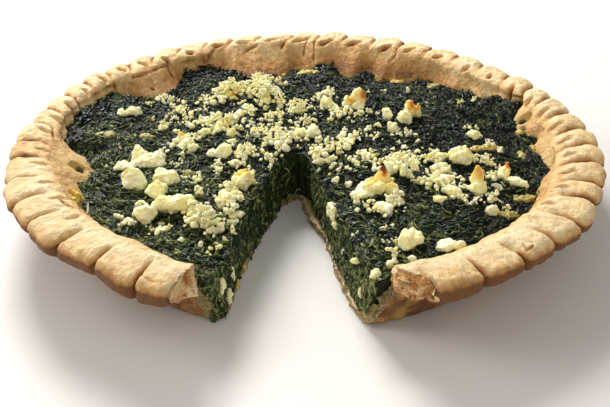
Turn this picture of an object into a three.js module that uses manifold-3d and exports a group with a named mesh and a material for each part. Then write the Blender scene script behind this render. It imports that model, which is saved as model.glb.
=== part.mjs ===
// A spinach quiche: a round shortcrust shell with a crimped rim, filled with baked spinach and egg,
// topped with crumbled feta, and with one thin slice taken out of the front.
// Units are millimetres, +Z is up, and the origin is the middle of the round underside.

import * as THREE from "three";
import { mergeVertices } from "three/addons/utils/BufferGeometryUtils.js";
import Module from "manifold-3d";

const wasm = await Module();
wasm.setup();

// Shell: a shallow nine-inch case with sloping sides and a rope of dough laid round its top.
// Profile rows are [radius, height], read upwards outside and downwards inside.
const OUTSIDE_PROFILE = [[94.5, 0], [97, 1.4], [101.2, 12]];
const INSIDE_PROFILE = [[95.5, 6], [91, 3]];
const FLOOR_THICKNESS = 3;
const ROPE_CENTRE_RADIUS = 112.3;
const ROPE_CENTRE_HEIGHT = 27;
const ROPE_HALF_WIDTH = 9.6;
const ROPE_HALF_HEIGHT = 4.6;
const ROPE_ANGLES = [-130, -85, -40, 0, 40, 80, 120, 165];

// Crimps: the rope is pinched at even steps, and the pinches lean a little round the rim.
const CRIMP_COUNT = 44;
const STEPS_PER_CRIMP = 4;
const CRIMP_LEAN = 3;
const PINCH_DEPTH = 2.6;
const PINCH_DROP = 0.7;
const PINCH_ROUNDNESS = 0.7;
const CRIMP_UNEVENNESS = 0.6;

// How far the rim bulges out of a true circle, as [azimuth in degrees, millimetres].
const RIM_BULGE = [[-67, -0.6], [-45, -0.2], [-35, 2.2], [-27, 1.2], [-5, 0.6], [10, -0.8], [20, -1.6],
  [40, -1.8], [92, -0.6], [108, -1.4], [150, -1.6], [172, -2], [190, -0.6], [205, 0.8], [224, 1.2],
  [235, -0.2], [247, 1.8]];

// How far the rope reaches inwards from its centre: less where the filling climbed up to it.
const ROPE_INNER_HALF_WIDTH = [[-60, 9.6], [12, 9.6], [20, 6.6], [26, 8], [34, 9.6], [142, 9.6], [152, 7],
  [166, 6.2], [174, 7.4], [184, 9.6]];

// Inner face of the side wall at the level of the filling's edge, as [azimuth, radius].
const WALL_RADIUS = [[-172, 92], [-166, 90.5], [-158, 95.5], [-149, 98], [-138, 100], [-60, 101], [-20, 100],
  [-9, 101], [0, 98], [10, 98], [21, 104], [32, 101], [43, 99], [56, 97], [66, 92], [85, 94], [97, 92],
  [105, 90], [121, 99], [127, 100], [138, 94], [154, 103], [163, 105], [170, 104], [176, 101]];

// Height of the filling where it meets the wall, as [azimuth, height].
const FILLING_EDGE = [[-174, 20], [-138, 21.5], [-120, 23], [-60, 23], [-31, 21], [-9, 21.5], [10, 22],
  [21, 25], [32, 21], [43, 20], [56, 18], [66, 18], [85, 19.5], [97, 18.5], [107, 18], [119, 22.5],
  [129, 21], [139, 18], [152, 24.5], [164, 26], [172, 25], [178, 24]];

// Filling: baked level with a slight dome, and a little uneven.
const FILLING_HEIGHT = 23.7;
const FILLING_STEPS = 88;
const FILLING_RINGS = [0.92, 0.74, 0.52, 0.28];
const FILLING_LEVEL_SHARE = 0.72;
const FILLING_WAVE = 0.5;
const FILLING_WAVE_LENGTH = [107, 88];
const FILLING_WAVE_PHASE = 1;
const GAP = 0.35;
const WALL_GAP = 1.2;

// The slice was cut out with two strokes that meet in a blunt tip. Each line is in plan, as [x, y],
// from the tip outwards. The shell has crumbled back a little further than the filling at the rim.
const CUT_LEFT = [[-3.3, -7.5], [-10.5, -14], [-15.3, -31.5], [-20.8, -51], [-24.2, -66.6], [-26.3, -79],
  [-28, -89]];
const CUT_RIGHT = [[2.4, -13], [6.5, -32.7], [10.7, -47], [13.2, -62.2], [16.1, -74.6], [18.8, -84.5],
  [21.5, -92]];
const FILLING_END_LEFT = [[-31, -106], [-36, -140]];
const FILLING_END_RIGHT = [[25.5, -106], [34, -140]];
const SHELL_END_LEFT = [[-34.2, -92], [-36, -95.5], [-35.4, -103.5], [-39.6, -106.4], [-42, -114.5],
  [-60, -140]];
const SHELL_END_RIGHT = [[26, -95], [29.6, -102.7], [36, -107], [39.5, -107.8], [42, -116], [48, -140]];
const CUTTER_HEIGHT = 90;

// Feta: each piece is one or more lumps, each lump [x, y, length, width, height, turn in degrees].
const FETA_PIECES = [
  [[-63.8, -17.4, 14.4, 10, 5.8, 8], [-68, -14, 9.4, 7, 7.6, 50], [-72.2, -18.8, 10.4, 6, 4, 10]],
  [[-66.2, -37.4, 10.8, 8.8, 8, 0]],
  [[-53.6, -34.6, 10.8, 7.8, 5, -15]],
  [[-55.2, -44.8, 9.4, 9, 6.2, 15]],
  [[-48.8, -55, 15.6, 10.6, 7, 8], [-57.8, -60, 9, 8, 5.4, -10]],
  [[-23.9, -37.6, 9.4, 7.6, 6.4, 0]],
  [[-33.9, -10.8, 9.2, 7.2, 4, -20]],
  [[-50.2, -3.8, 8.6, 6.8, 4.6, 20]],
  [[-79.5, 28.4, 11, 6, 3.4, 5]],
  [[24.1, 37.4, 11.6, 9.2, 8.8, 15]],
  [[45, 20.4, 8.6, 7, 6, 30], [48, 24.4, 8.4, 6.6, 8.6, 20]],
  [[63.5, -17.6, 10.6, 8.6, 6, 0]],
  [[27.6, -40.6, 14.4, 13, 5.6, 10], [29.8, -38.6, 9.6, 8.2, 8.2, 30], [21.4, -44, 8, 6.4, 3.6, 20]],
  [[66.2, -39.9, 9, 7.4, 10.4, 0]],
  [[54.3, -35.8, 10, 6.8, 3.6, 10]],
  [[79.1, -27.2, 8.6, 6.8, 4.4, 0], [83.4, -32.4, 9.6, 6.4, 3.4, -25]],
  [[36.8, -78, 9.4, 7.6, 4.8, 20]],
  [[50.2, -79.4, 10, 6.2, 2.8, 5]],
  [[54.2, -25.2, 9.6, 5.4, 3.2, 0]],
  [[3.4, 5.2, 8, 6.6, 5.8, 0], [-1.6, 6.4, 6, 4.8, 3.6, 0]],
];
const LUMP_SINK = 0.16;
const LUMP_ROUGHNESS = 0.12;

const DEGREE = Math.PI / 180;
const WELD_DISTANCE = 1e-4;

function shellMaterial() {
  return new THREE.MeshStandardMaterial({ color: 0xdcb784, roughness: 0.8, metalness: 0 });
}

function fillingMaterial() {
  return new THREE.MeshStandardMaterial({ color: 0x1b2616, roughness: 0.5, metalness: 0 });
}

function fetaMaterial() {
  return new THREE.MeshStandardMaterial({ color: 0xefe6b4, roughness: 0.7, metalness: 0 });
}

// A repeatable number between -1 and 1 for each pair of whole numbers.
function jitter(index, salt) {
  const wave = Math.sin(index * 12.9898 + salt * 78.233) * 43758.5453;
  return 2 * (wave - Math.floor(wave)) - 1;
}

// Reads a table of [azimuth, value] rows that closes on itself, with a smooth run between rows.
function around(table, azimuth) {
  const turned = ((azimuth - table[0][0]) % 360 + 360) % 360 + table[0][0];
  const next = table.findIndex((row) => row[0] > turned);
  const high = next < 0 ? [table[0][0] + 360, table[0][1]] : table[next];
  const low = next < 0 ? table[table.length - 1] : table[next - 1];
  const share = (turned - low[0]) / (high[0] - low[0]);
  const eased = share * share * (3 - 2 * share);
  return low[1] + (high[1] - low[1]) * eased;
}

// The same reading along straight flats as long as the filling's, so that wall and filling fit.
function alongFlats(table, azimuth) {
  const pitch = 360 / FILLING_STEPS;
  const start = Math.floor(azimuth / pitch) * pitch;
  return THREE.MathUtils.lerp(around(table, start), around(table, start + pitch), (azimuth - start) / pitch);
}

function polar(radius, azimuth, height) {
  const angle = azimuth * DEGREE;
  return new THREE.Vector3(radius * Math.cos(angle), radius * Math.sin(angle), height);
}

// Skins a stack of closed rings, from the middle of the underside round to the middle of the top.
function ringSolid(bottomHeight, rings, topHeight) {
  const steps = rings[0].length;
  const points = [new THREE.Vector3(0, 0, bottomHeight), ...rings.flat(), new THREE.Vector3(0, 0, topHeight)];
  const top = points.length - 1;
  const at = (ring, step) => 1 + ring * steps + (step % steps);
  const faces = [];
  for (let step = 0; step < steps; step += 1) {
    faces.push(0, at(0, step + 1), at(0, step));
    for (let ring = 0; ring < rings.length - 1; ring += 1) {
      const [a, b] = [at(ring, step), at(ring, step + 1)];
      const [c, d] = [at(ring + 1, step + 1), at(ring + 1, step)];
      faces.push(a, b, c, a, c, d);
    }
    faces.push(top, at(rings.length - 1, step), at(rings.length - 1, step + 1));
  }
  const geometry = new THREE.BufferGeometry().setFromPoints(points);
  geometry.setIndex(faces);
  return geometry;
}

function toSolid(geometry) {
  const bare = geometry.clone();
  bare.deleteAttribute("normal");
  bare.deleteAttribute("uv");
  const merged = mergeVertices(bare, WELD_DISTANCE);
  const vertProperties = new Float32Array(merged.attributes.position.array);
  const triVerts = new Uint32Array(merged.index.array);
  return new wasm.Manifold(new wasm.Mesh({ numProp: 3, vertProperties, triVerts }));
}

function toGeometry(solid) {
  const mesh = solid.getMesh();
  const geometry = new THREE.BufferGeometry();
  geometry.setAttribute("position", new THREE.BufferAttribute(new Float32Array(mesh.vertProperties), 3));
  geometry.setIndex(new THREE.BufferAttribute(new Uint32Array(mesh.triVerts), 1));
  geometry.computeVertexNormals();
  return geometry;
}

// The missing slice as a tall prism: out along the left cut and back along the right one.
function sliceCutter(endLeft, endRight) {
  const left = [...CUT_LEFT, ...endLeft];
  const right = [...CUT_RIGHT, ...endRight].reverse();
  const outline = new THREE.Shape([...left, ...right].map(([x, y]) => new THREE.Vector2(x, y)));
  const prism = new THREE.ExtrudeGeometry(outline, { depth: CUTTER_HEIGHT, bevelEnabled: false });
  prism.translate(0, 0, -CUTTER_HEIGHT / 3);
  return toSolid(prism);
}

// One point of the rope: the section is an ellipse, drawn in at each pinch and full between them.
function ropePoint(sectionAngle, azimuth, step) {
  const crimp = Math.floor(step / STEPS_PER_CRIMP);
  const fullness = Math.sin(Math.PI * (step % STEPS_PER_CRIMP) / STEPS_PER_CRIMP) ** PINCH_ROUNDNESS;
  const outward = (1 + Math.cos(sectionAngle * DEGREE)) / 2;
  const uneven = CRIMP_UNEVENNESS * jitter(crimp, 1) * fullness;
  const reach = sectionAngle > 90 ? around(ROPE_INNER_HALF_WIDTH, azimuth) : ROPE_HALF_WIDTH;
  const halfWidth = reach + (uneven - PINCH_DEPTH * (1 - fullness)) * outward;
  const halfHeight = ROPE_HALF_HEIGHT + uneven / 2 - PINCH_DROP * (1 - fullness);
  const bulge = around(RIM_BULGE, azimuth) * outward;
  const radius = ROPE_CENTRE_RADIUS + bulge + halfWidth * Math.cos(sectionAngle * DEGREE);
  const height = ROPE_CENTRE_HEIGHT + halfHeight * Math.sin(sectionAngle * DEGREE);
  return polar(radius, azimuth, height);
}

// The shell, all in one: floor, sloping side, rope rim, and the inner face back down to the floor.
function shellGeometry() {
  const steps = CRIMP_COUNT * STEPS_PER_CRIMP;
  const ring = (lean, place) => Array.from({ length: steps }, (unused, step) => {
    const azimuth = (step * 360) / steps + lean * CRIMP_LEAN;
    return place(azimuth, step);
  });
  const profile = (rows, lean) => rows.map(([radius, height]) => (
    ring(lean, (azimuth) => polar(radius, azimuth, height))
  ));
  const rope = ROPE_ANGLES.map((angle) => {
    const lean = (1 + Math.cos(Math.max(angle, 0) * DEGREE)) / 2;
    return ring(lean, (azimuth, step) => ropePoint(angle, azimuth, step));
  });
  const brim = ring(0, (azimuth) => (
    polar(alongFlats(WALL_RADIUS, azimuth), azimuth, alongFlats(FILLING_EDGE, azimuth))
  ));
  const rings = [...profile(OUTSIDE_PROFILE, 1), ...rope, brim, ...profile(INSIDE_PROFILE, 0)];
  return ringSolid(0, rings, FLOOR_THICKNESS);
}

// Top of the filling: level in the middle, easing to its own height at the wall, with low waves.
function fillingTop(x, y) {
  const azimuth = Math.atan2(y, x) / DEGREE;
  const share = Math.hypot(x, y) / around(WALL_RADIUS, azimuth);
  const towardsWall = THREE.MathUtils.smoothstep(share, FILLING_LEVEL_SHARE, 1);
  const [alongX, alongY] = FILLING_WAVE_LENGTH.map((length) => (2 * Math.PI) / length);
  const wave = Math.sin(alongX * x + FILLING_WAVE_PHASE) * Math.cos(alongY * y);
  const middle = FILLING_HEIGHT + FILLING_WAVE * wave;
  return middle + (around(FILLING_EDGE, azimuth) - middle) * towardsWall;
}

function fillingGeometry() {
  const azimuths = Array.from({ length: FILLING_STEPS }, (unused, step) => (step * 360) / FILLING_STEPS);
  const edgeRadius = (azimuth) => around(WALL_RADIUS, azimuth) - WALL_GAP;
  const foot = [...INSIDE_PROFILE].reverse().map(([radius, height]) => (
    azimuths.map((azimuth) => polar(radius - WALL_GAP, azimuth, height + GAP))
  ));
  const brim = azimuths.map((azimuth) => (
    polar(edgeRadius(azimuth), azimuth, around(FILLING_EDGE, azimuth) - GAP)
  ));
  const surface = FILLING_RINGS.map((share) => azimuths.map((azimuth) => {
    const point = polar(edgeRadius(azimuth) * share, azimuth, 0);
    return point.setZ(fillingTop(point.x, point.y));
  }));
  return ringSolid(FLOOR_THICKNESS + GAP, [...foot, brim, ...surface], fillingTop(0, 0));
}

// One crumbly lump, sunk a little into the surface it was baked on.
function fetaLump([x, y, length, width, height, turn], seed) {
  const round = new THREE.IcosahedronGeometry(1, 1);
  round.deleteAttribute("normal");
  round.deleteAttribute("uv");
  const lump = mergeVertices(round, WELD_DISTANCE);
  const points = lump.attributes.position;
  const point = new THREE.Vector3();
  for (let index = 0; index < points.count; index += 1) {
    point.fromBufferAttribute(points, index).multiplyScalar(1 + LUMP_ROUGHNESS * jitter(index, seed));
    points.setXYZ(index, point.x, point.y, point.z);
  }
  const halfHeight = (height * (1 + LUMP_SINK)) / 2;
  lump.scale(length / 2, width / 2, halfHeight);
  lump.rotateZ(turn * DEGREE);
  lump.translate(x, y, fillingTop(x, y) + height - halfHeight);
  return toSolid(lump);
}

function fetaGeometry(lumps, piece, bed) {
  const solids = lumps.map((lump, index) => fetaLump(lump, 10 * piece + index));
  const whole = solids.reduce((joined, solid) => joined.add(solid));
  return toGeometry(whole.subtract(bed));
}

function named(name, geometry, material) {
  const mesh = new THREE.Mesh(geometry, material);
  mesh.name = name;
  return mesh;
}

const quiche = new THREE.Group();
quiche.name = "quiche";

const shell = toSolid(shellGeometry()).subtract(sliceCutter(SHELL_END_LEFT, SHELL_END_RIGHT));
quiche.add(named("crust", toGeometry(shell), shellMaterial()));

const uncutFilling = fillingGeometry();
const filling = toSolid(uncutFilling).subtract(sliceCutter(FILLING_END_LEFT, FILLING_END_RIGHT));
quiche.add(named("filling", toGeometry(filling), fillingMaterial()));

const bed = toSolid(uncutFilling.clone().translate(0, 0, GAP));
FETA_PIECES.forEach((lumps, piece) => {
  const name = `feta_${String(piece + 1).padStart(2, "0")}`;
  quiche.add(named(name, fetaGeometry(lumps, piece + 1, bed), fetaMaterial()));
});

export default quiche;
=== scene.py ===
import itertools

import bmesh
import bpy
import numpy as np
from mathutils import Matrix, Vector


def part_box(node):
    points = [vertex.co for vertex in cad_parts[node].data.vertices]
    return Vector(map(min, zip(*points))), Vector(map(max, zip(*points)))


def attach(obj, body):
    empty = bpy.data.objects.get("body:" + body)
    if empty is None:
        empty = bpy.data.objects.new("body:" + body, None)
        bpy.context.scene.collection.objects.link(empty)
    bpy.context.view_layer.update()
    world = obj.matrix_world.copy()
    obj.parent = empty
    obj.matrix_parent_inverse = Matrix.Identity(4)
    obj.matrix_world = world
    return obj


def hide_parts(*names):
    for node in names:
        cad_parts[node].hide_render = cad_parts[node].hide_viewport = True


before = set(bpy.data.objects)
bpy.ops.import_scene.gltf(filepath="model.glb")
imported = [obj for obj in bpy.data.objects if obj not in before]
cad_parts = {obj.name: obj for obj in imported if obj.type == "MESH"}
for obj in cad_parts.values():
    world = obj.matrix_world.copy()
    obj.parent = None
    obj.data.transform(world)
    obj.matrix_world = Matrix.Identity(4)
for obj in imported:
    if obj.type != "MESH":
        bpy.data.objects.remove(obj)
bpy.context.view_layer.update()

# ---------------------------------------------------------------------------------------------
# Table, light and camera.
# A plain pale table top, a large soft window light behind the quiche, a second window at its
# left and a weak warm room light. The camera looks down into the open cut. Sizes in this section
# are in metres, and all the others are in millimetres.
MM = 0.001
TABLE_SIZE = 5
TABLE_COLOUR = (0.74, 0.73, 0.72, 1)
TABLE_ROUGHNESS = 0.6
ROOM_COLOUR = (1, 0.94, 0.86, 1)
ROOM_STRENGTH = 0.39
CAMERA_PLACE = (0.0003, -0.3249, 0.1879)
CAMERA_TILT_DOWN = 30.9
LENS_MM = 50.2
SENSOR_MM = 36

bpy.ops.mesh.primitive_plane_add(size=TABLE_SIZE)
table = bpy.context.object
table.name = "table_top"
table_finish = bpy.data.materials.new("table_top")
table_finish.use_nodes = True
table_shader = table_finish.node_tree.nodes["Principled BSDF"]
table_shader.inputs["Base Color"].default_value = TABLE_COLOUR
table_shader.inputs["Roughness"].default_value = TABLE_ROUGHNESS
table.data.materials.append(table_finish)


def soft_light(name, place, size, power, colour):
    """A square soft box that faces the middle of the quiche."""
    lamp = bpy.data.lights.new(name, "AREA")
    lamp.size = size
    lamp.energy = power
    lamp.color = colour
    holder = bpy.data.objects.new(name, lamp)
    holder.location = place
    towards_middle = -holder.location
    holder.rotation_euler = towards_middle.to_track_quat("-Z", "Y").to_euler()
    bpy.context.scene.collection.objects.link(holder)


soft_light("window", place=(-0.3, 0.8, 0.72), size=0.46, power=17, colour=(1, 0.975, 0.93))
soft_light("side_window", place=(-0.95, 0.05, 0.6), size=0.6, power=5.5, colour=(1, 0.98, 0.95))
soft_light("fill", place=(0.4, -0.8, 0.7), size=0.9, power=2.6, colour=(1, 0.97, 0.92))

world = bpy.data.worlds.new("room")
world.use_nodes = True
background = world.node_tree.nodes["Background"]
background.inputs["Color"].default_value = ROOM_COLOUR
background.inputs["Strength"].default_value = ROOM_STRENGTH
bpy.context.scene.world = world
bpy.context.scene.view_settings.view_transform = "Standard"

eye = bpy.data.cameras.new("eye")
eye.sensor_width = SENSOR_MM
eye.lens = LENS_MM
camera = bpy.data.objects.new("eye", eye)
camera.location = CAMERA_PLACE
camera.rotation_euler = (np.radians(90 - CAMERA_TILT_DOWN), 0, 0)
bpy.context.scene.collection.objects.link(camera)
bpy.context.scene.camera = camera

# ---------------------------------------------------------------------------------------------
# Pastry case.
# Shortcrust rolled out, laid in a shallow nine-inch dish with sloping sides, its edge folded
# into a thick rope and pinched between finger and thumb all the way round, then baked to gold.
STEPS_ROUND = 1000
SEAM = -90
CRIMPS = [-70, -61.1, -52.6, -44.8, -37.5, -28.6, -21.9, -13.9, -6.4, 1.1, 9.2, 16.7, 23.4, 31.2, 39.6,
          47.5, 55.2, 62.9, 70.4, 78, 85.1, 92.6, 100.7, 108.3, 115.4, 123.6, 131.6, 139.1, 146.5, 153.8,
          161.1, 168.7, 176.3, 185, 192, 201.3, 210.2, 217.6, 226.7, 235.4, 243.8, 250.4, 262, 271, 281]
ROPE_MIDDLE = 112.3
ROPE_HALF_WIDTH = 9.6
FLOOR_THICKNESS = 3
# Tables of [azimuth in degrees, value] round the rim.
ROPE_HEIGHT = [[-60, 26.5], [-30, 26.8], [20, 27], [60, 27.1], [130, 27.2], [170, 26.8], [235, 27.2],
               [247, 25.8], [255, 25.8]]
ROPE_HALF_HEIGHT = [[-60, 5.4], [-25, 4.8], [30, 4.5], [150, 4.5], [200, 4.8], [235, 5.3], [250, 5.6]]
SQUARENESS = [[-50, 2.9], [-20, 2.3], [190, 2.3], [225, 3]]
RIM_BULGE = [[-67, -0.6], [-45, -0.2], [-35, 2.2], [-27, 1.2], [-18, 0.9], [-5, 0.6], [10, -0.8],
             [20, -1.6], [40, -1.8], [92, -0.6], [108, -1.4], [150, -1.6], [172, -2], [190, -0.6],
             [205, 0.8], [224, 1.2], [235, -0.2], [247, 1.8]]
ROPE_INNER = [[-60, 9.6], [12, 9.6], [20, 6.6], [26, 8], [34, 9.6], [142, 9.6], [152, 7], [166, 6.2],
              [174, 7.4], [184, 9.6]]
WALL_RADIUS = [[-174, 92], [-168, 89], [-164, 91], [-158, 95.5], [-149, 98], [-138, 100], [-90, 101],
               [-60, 101], [-44, 100], [-20, 100], [-9, 101.5], [-1, 97], [4, 100], [9, 96], [14, 99],
               [20, 105.5], [26, 103], [32, 101], [37, 102.5], [43, 98.5], [51, 100], [56, 99], [62, 93.5],
               [65, 91], [70, 96], [74, 90.5], [82, 96.5], [88, 93.5], [93, 96], [97, 91.5], [101, 89.5],
               [105, 85.5], [111, 86.5], [115, 97], [120, 100.5], [125, 102], [129, 100.5], [132, 95],
               [138, 90], [142, 93], [147, 100], [151, 104], [160, 103.5], [164, 106], [172, 105],
               [178, 101.5], [182, 98]]
FILLING_EDGE = [[-174, 20], [-168, 20], [-158, 20.5], [-138, 21.5], [-120, 23], [-60, 23], [-31, 21],
                [-9, 21.5], [9, 22], [14, 23], [20, 26], [26, 24], [32, 20.5], [37, 21], [43, 20],
                [51, 18.5], [65, 18], [70, 19], [76, 18], [82, 20], [93, 19], [101, 18], [109, 18],
                [115, 22], [126, 23], [130, 21], [138, 18], [142, 19], [147, 21], [151, 25], [160, 24.5],
                [164, 26], [172, 25], [178, 24], [182, 21]]
LATTICE_SIDE = 40
LATTICE = np.random.default_rng(3).uniform(-1, 1, (LATTICE_SIDE, LATTICE_SIDE, LATTICE_SIDE))


def lumps(points, size, shift=0.0):
    """Smooth random lumps of about that size in millimetres, from -1 to 1."""
    place = np.asarray(points) / size + 11.7 * shift
    cell = np.floor(place).astype(int)
    part = place - cell
    part = part * part * (3 - 2 * part)
    height = np.zeros(place.shape[:-1])
    for corner in itertools.product((0, 1), repeat=3):
        share = np.prod(np.where(corner, part, 1 - part), axis=-1)
        near = (cell + corner) % LATTICE_SIDE
        height += share * LATTICE[near[..., 0], near[..., 1], near[..., 2]]
    return height


def ease(value, low, high):
    """0 below low, 1 above high, and a smooth run between."""
    share = np.clip((value - low) / (high - low), 0, 1)
    return share * share * (3 - 2 * share)


def aside_from(points, x=0, y=0):
    """Distance in plan from a place, or from the middle of the quiche."""
    return np.hypot(points[..., 0] - x, points[..., 1] - y)


def patch(points, x, y, reach):
    """1 at a place, fading to 0 round it."""
    return np.exp(-(aside_from(points, x, y) / reach) ** 2)


def round_the_rim(rows, azimuth):
    """Reads [azimuth, value] rows that close on themselves, with a smooth run between rows."""
    rows = np.array(rows, float)
    places = np.append(rows[:, 0], rows[0, 0] + 360)
    values = np.append(rows[:, 1], rows[0, 1])
    turned = (azimuth - places[0]) % 360 + places[0]
    row = np.clip(np.searchsorted(places, turned, side="right") - 1, 0, len(rows) - 1)
    share = ease(turned, places[row], places[row + 1])
    return values[row] + (values[row + 1] - values[row]) * share


def wall_line(azimuth):
    """Radius and height of the ragged line where the filling meets the pastry."""
    turn = np.radians(azimuth)
    ring = 100 * np.stack([np.cos(turn), np.sin(turn), 0 * turn], -1)
    radius = round_the_rim(WALL_RADIUS, azimuth) + 1.2 * lumps(ring, 7, 40) + 0.8 * lumps(ring, 3.2, 41)
    return radius, round_the_rim(FILLING_EDGE, azimuth) + 0.8 * lumps(ring, 8, 42)


def make_piece(name, points, faces, *finishes):
    """A mesh object from points in millimetres and faces that all have as many corners."""
    faces = np.asarray(faces)
    mesh = bpy.data.meshes.new(name)
    mesh.vertices.add(len(points))
    mesh.vertices.foreach_set("co", (np.asarray(points) * MM).astype(np.float32).ravel())
    mesh.loops.add(faces.size)
    mesh.loops.foreach_set("vertex_index", faces.ravel().astype(np.int32))
    mesh.polygons.add(len(faces))
    mesh.polygons.foreach_set("loop_start", np.arange(0, faces.size, faces.shape[1], dtype=np.int32))
    mesh.update(calc_edges=True)
    mesh.shade_smooth()
    for finish in finishes:
        mesh.materials.append(finish)
    piece = bpy.data.objects.new(name, mesh)
    bpy.context.scene.collection.objects.link(piece)
    return piece


def points_of(piece):
    """The piece's points in millimetres."""
    points = np.empty(len(piece.data.vertices) * 3, np.float32)
    piece.data.vertices.foreach_get("co", points)
    return points.reshape(-1, 3).astype(float) / MM


def note(piece, name, values):
    """Keeps one number for each point, such as how brown it is, for the finish to read."""
    kept = piece.data.attributes.new(name, "FLOAT", "POINT")
    kept.data.foreach_set("value", np.asarray(values, np.float32))


def ring_faces(rings, steps):
    """Four-cornered faces between closed rings of points."""
    ring = np.arange(rings - 1)[:, None] * steps
    step = np.arange(steps)[None, :]
    after = (step + 1) % steps
    corners = [ring + step, ring + after, ring + steps + after, ring + steps + step]
    return np.stack(corners, -1).reshape(-1, 4)


def closing_fan(rings, steps, bottom, top):
    """Faces, as folded four-cornered ones, that close the first and last ring on a middle point."""
    step = np.arange(0, steps, 2)
    low = np.stack([np.full(steps // 2, bottom), (step + 2) % steps, step + 1, step], -1)
    high = (rings - 1) * steps
    up = np.stack([np.full(steps // 2, top), high + step, high + step + 1, high + (step + 2) % steps], -1)
    return np.concatenate([low, up])


def through_stations(stations, samples):
    """Catmull-Rom run through the stations of a section, with some samples in each stretch."""
    stations = np.array(stations)
    before = np.concatenate([stations[:1], stations[:-1]])
    after = np.concatenate([stations[1:], stations[-1:]])
    rows = []
    for index, count in enumerate(samples):
        start, end = stations[index], stations[index + 1]
        leave = (end - before[index]) / 2
        arrive = (after[index + 1] - start) / 2
        for share in np.arange(count) / count:
            square, cube = share * share, share ** 3
            rows.append((2 * cube - 3 * square + 1) * start + (cube - 2 * square + share) * leave
                        + (3 * square - 2 * cube) * end + (cube - square) * arrive)
    rows.append(stations[-1])
    return np.array(rows)


azimuth = SEAM + np.arange(STEPS_ROUND) * 360 / STEPS_ROUND
bulge = round_the_rim(RIM_BULGE, azimuth)
rope_height = round_the_rim(ROPE_HEIGHT, azimuth)
half_height = round_the_rim(ROPE_HALF_HEIGHT, azimuth)
squareness = round_the_rim(SQUARENESS, azimuth)
inner_width = round_the_rim(ROPE_INNER, azimuth)
wall_radius, edge_height = wall_line(azimuth)


def station(radius, height):
    """A point of the section, the same all the way round or one for each azimuth."""
    return np.stack(np.broadcast_arrays(radius + 0 * azimuth, height), -1)


def rope_station(angle):
    """A point of the rope's section: 0 degrees at its outer edge, 90 at its top, which is blunter."""
    cosine, sine = np.cos(np.radians(angle)), np.sin(np.radians(angle))
    power = 2 / squareness if angle > 0 else 1
    half_width = ROPE_HALF_WIDTH if cosine > 0 else inner_width
    radius = ROPE_MIDDLE + half_width * np.sign(cosine) * abs(cosine) ** power + bulge * (1 + cosine) / 2
    return station(radius, rope_height + half_height * np.sign(sine) * abs(sine) ** power)


# The section of the case as [radius, height], up the outside, over the rope by its angles, down
# the slope to the filling and on to the floor inside, and how many points each stretch gets.
OUTSIDE = [(60, 0), (90, 0), (94.5, 0.1), (97, 1.5), (99, 6), (101.2, 12), (103, 17), (104.5, 20.4)]
ROPE_ANGLES = [-112, -80, -50, -20, 10, 40, 70, 100, 130, 160]
INSIDE = [(95.5, 6), (91, FLOOR_THICKNESS), (60, FLOOR_THICKNESS)]
SAMPLES = [1, 2, 2, 3, 4, 4, 4, 3, 4, 4, 5, 6, 7, 7, 7, 7, 6, 7, 8, 2, 1, 1, 1]
SLOPE_TOP = 27.6
SLOPE_SWELL = 0.6
half_way_in = 0.5 * (ROPE_MIDDLE + 0.3 - inner_width + wall_radius) + SLOPE_SWELL
half_way_down = 0.5 * (SLOPE_TOP + edge_height) + SLOPE_SWELL
inner_slope = [station(half_way_in, half_way_down), station(wall_radius, edge_height),
               station(wall_radius - 1, edge_height - 3)]
section = [station(*row) for row in OUTSIDE] + [rope_station(angle) for angle in ROPE_ANGLES]
section += inner_slope + [station(*row) for row in INSIDE]
rows = through_stations(section, SAMPLES)
radius, height = rows[..., 0], rows[..., 1]
turn = np.radians(azimuth)
skin = np.stack([radius * np.cos(turn), radius * np.sin(turn), height], -1)

# How far each point is across the rope: 0 at the wall inside, 1 at the outer edge. Under is 1 on
# the rope's underside, and slope is 1 on the run from the rope's top down to the filling.
across = ease(radius, 99, 119)
under = ease(np.gradient(radius, axis=0), -0.2, 0.5)
slope = (1 - under) * (1 - ease(radius, 100, 110)) * ease(height, 14, 18)
on_rope = ease(height, 18, 23) * ease(radius, 97, 106)

# Every crimp is a pinch: a notch in the outer edge runs inwards as a crease, which leans, and the
# dough between two creases stands up as a pillow with a thumb print in its middle.
CREASE_LEAN = [[-75, -1.2], [-45, -2], [-28, -4.5], [15, -4.5], [40, -2.5], [60, 0], [85, 2.5], [105, 6],
               [128, 6], [160, 3.5], [200, 3], [217, 0.5]]
CREASE_DEPTH = [[-70, 1.6], [-61, 2.3], [-52, 2.3], [-45, 1.7], [-30, 1.5], [8, 1.3], [25, 1.7], [45, 0.8],
                [130, 0.8], [185, 0.7], [205, 1.3], [217, 2.8], [226.7, 3.6], [235, 2.2], [244, 2.4],
                [247, 0.3]]
CREASE_WIDTH = [[-50, 0.6], [-25, 1], [190, 1], [215, 0.55]]
PILLOW_EDGE = [[-60, 1.8], [-30, 2.2], [20, 2.1], [55, 1.2], [95, 1.5], [170, 1.8], [225, 1.7], [245, 1.7],
               [248, 5.5]]
PILLOW_TOP = [[-60, 0.05], [-30, 0.5], [20, 0.5], [55, 0.2], [170, 0.3], [205, 0.2], [225, 0.05]]
PILLOW_POWER = [[-60, 7], [-28, 2.8], [190, 2.6], [215, 6], [244, 8], [247, 3.2]]
PRINT_RADIUS = [[-24, 107.5], [8, 108], [28, 105.5], [50, 107.6], [75, 105.8], [112, 106.4], [128, 105.5],
                [142, 109], [170, 108]]
PRINT_HALF_LENGTH = 4.4
PRINT_HALF_WIDTH = 1.7
PRINT_DEPTH = 3.4
PRINT_MIDDLE = 0.46
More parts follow.
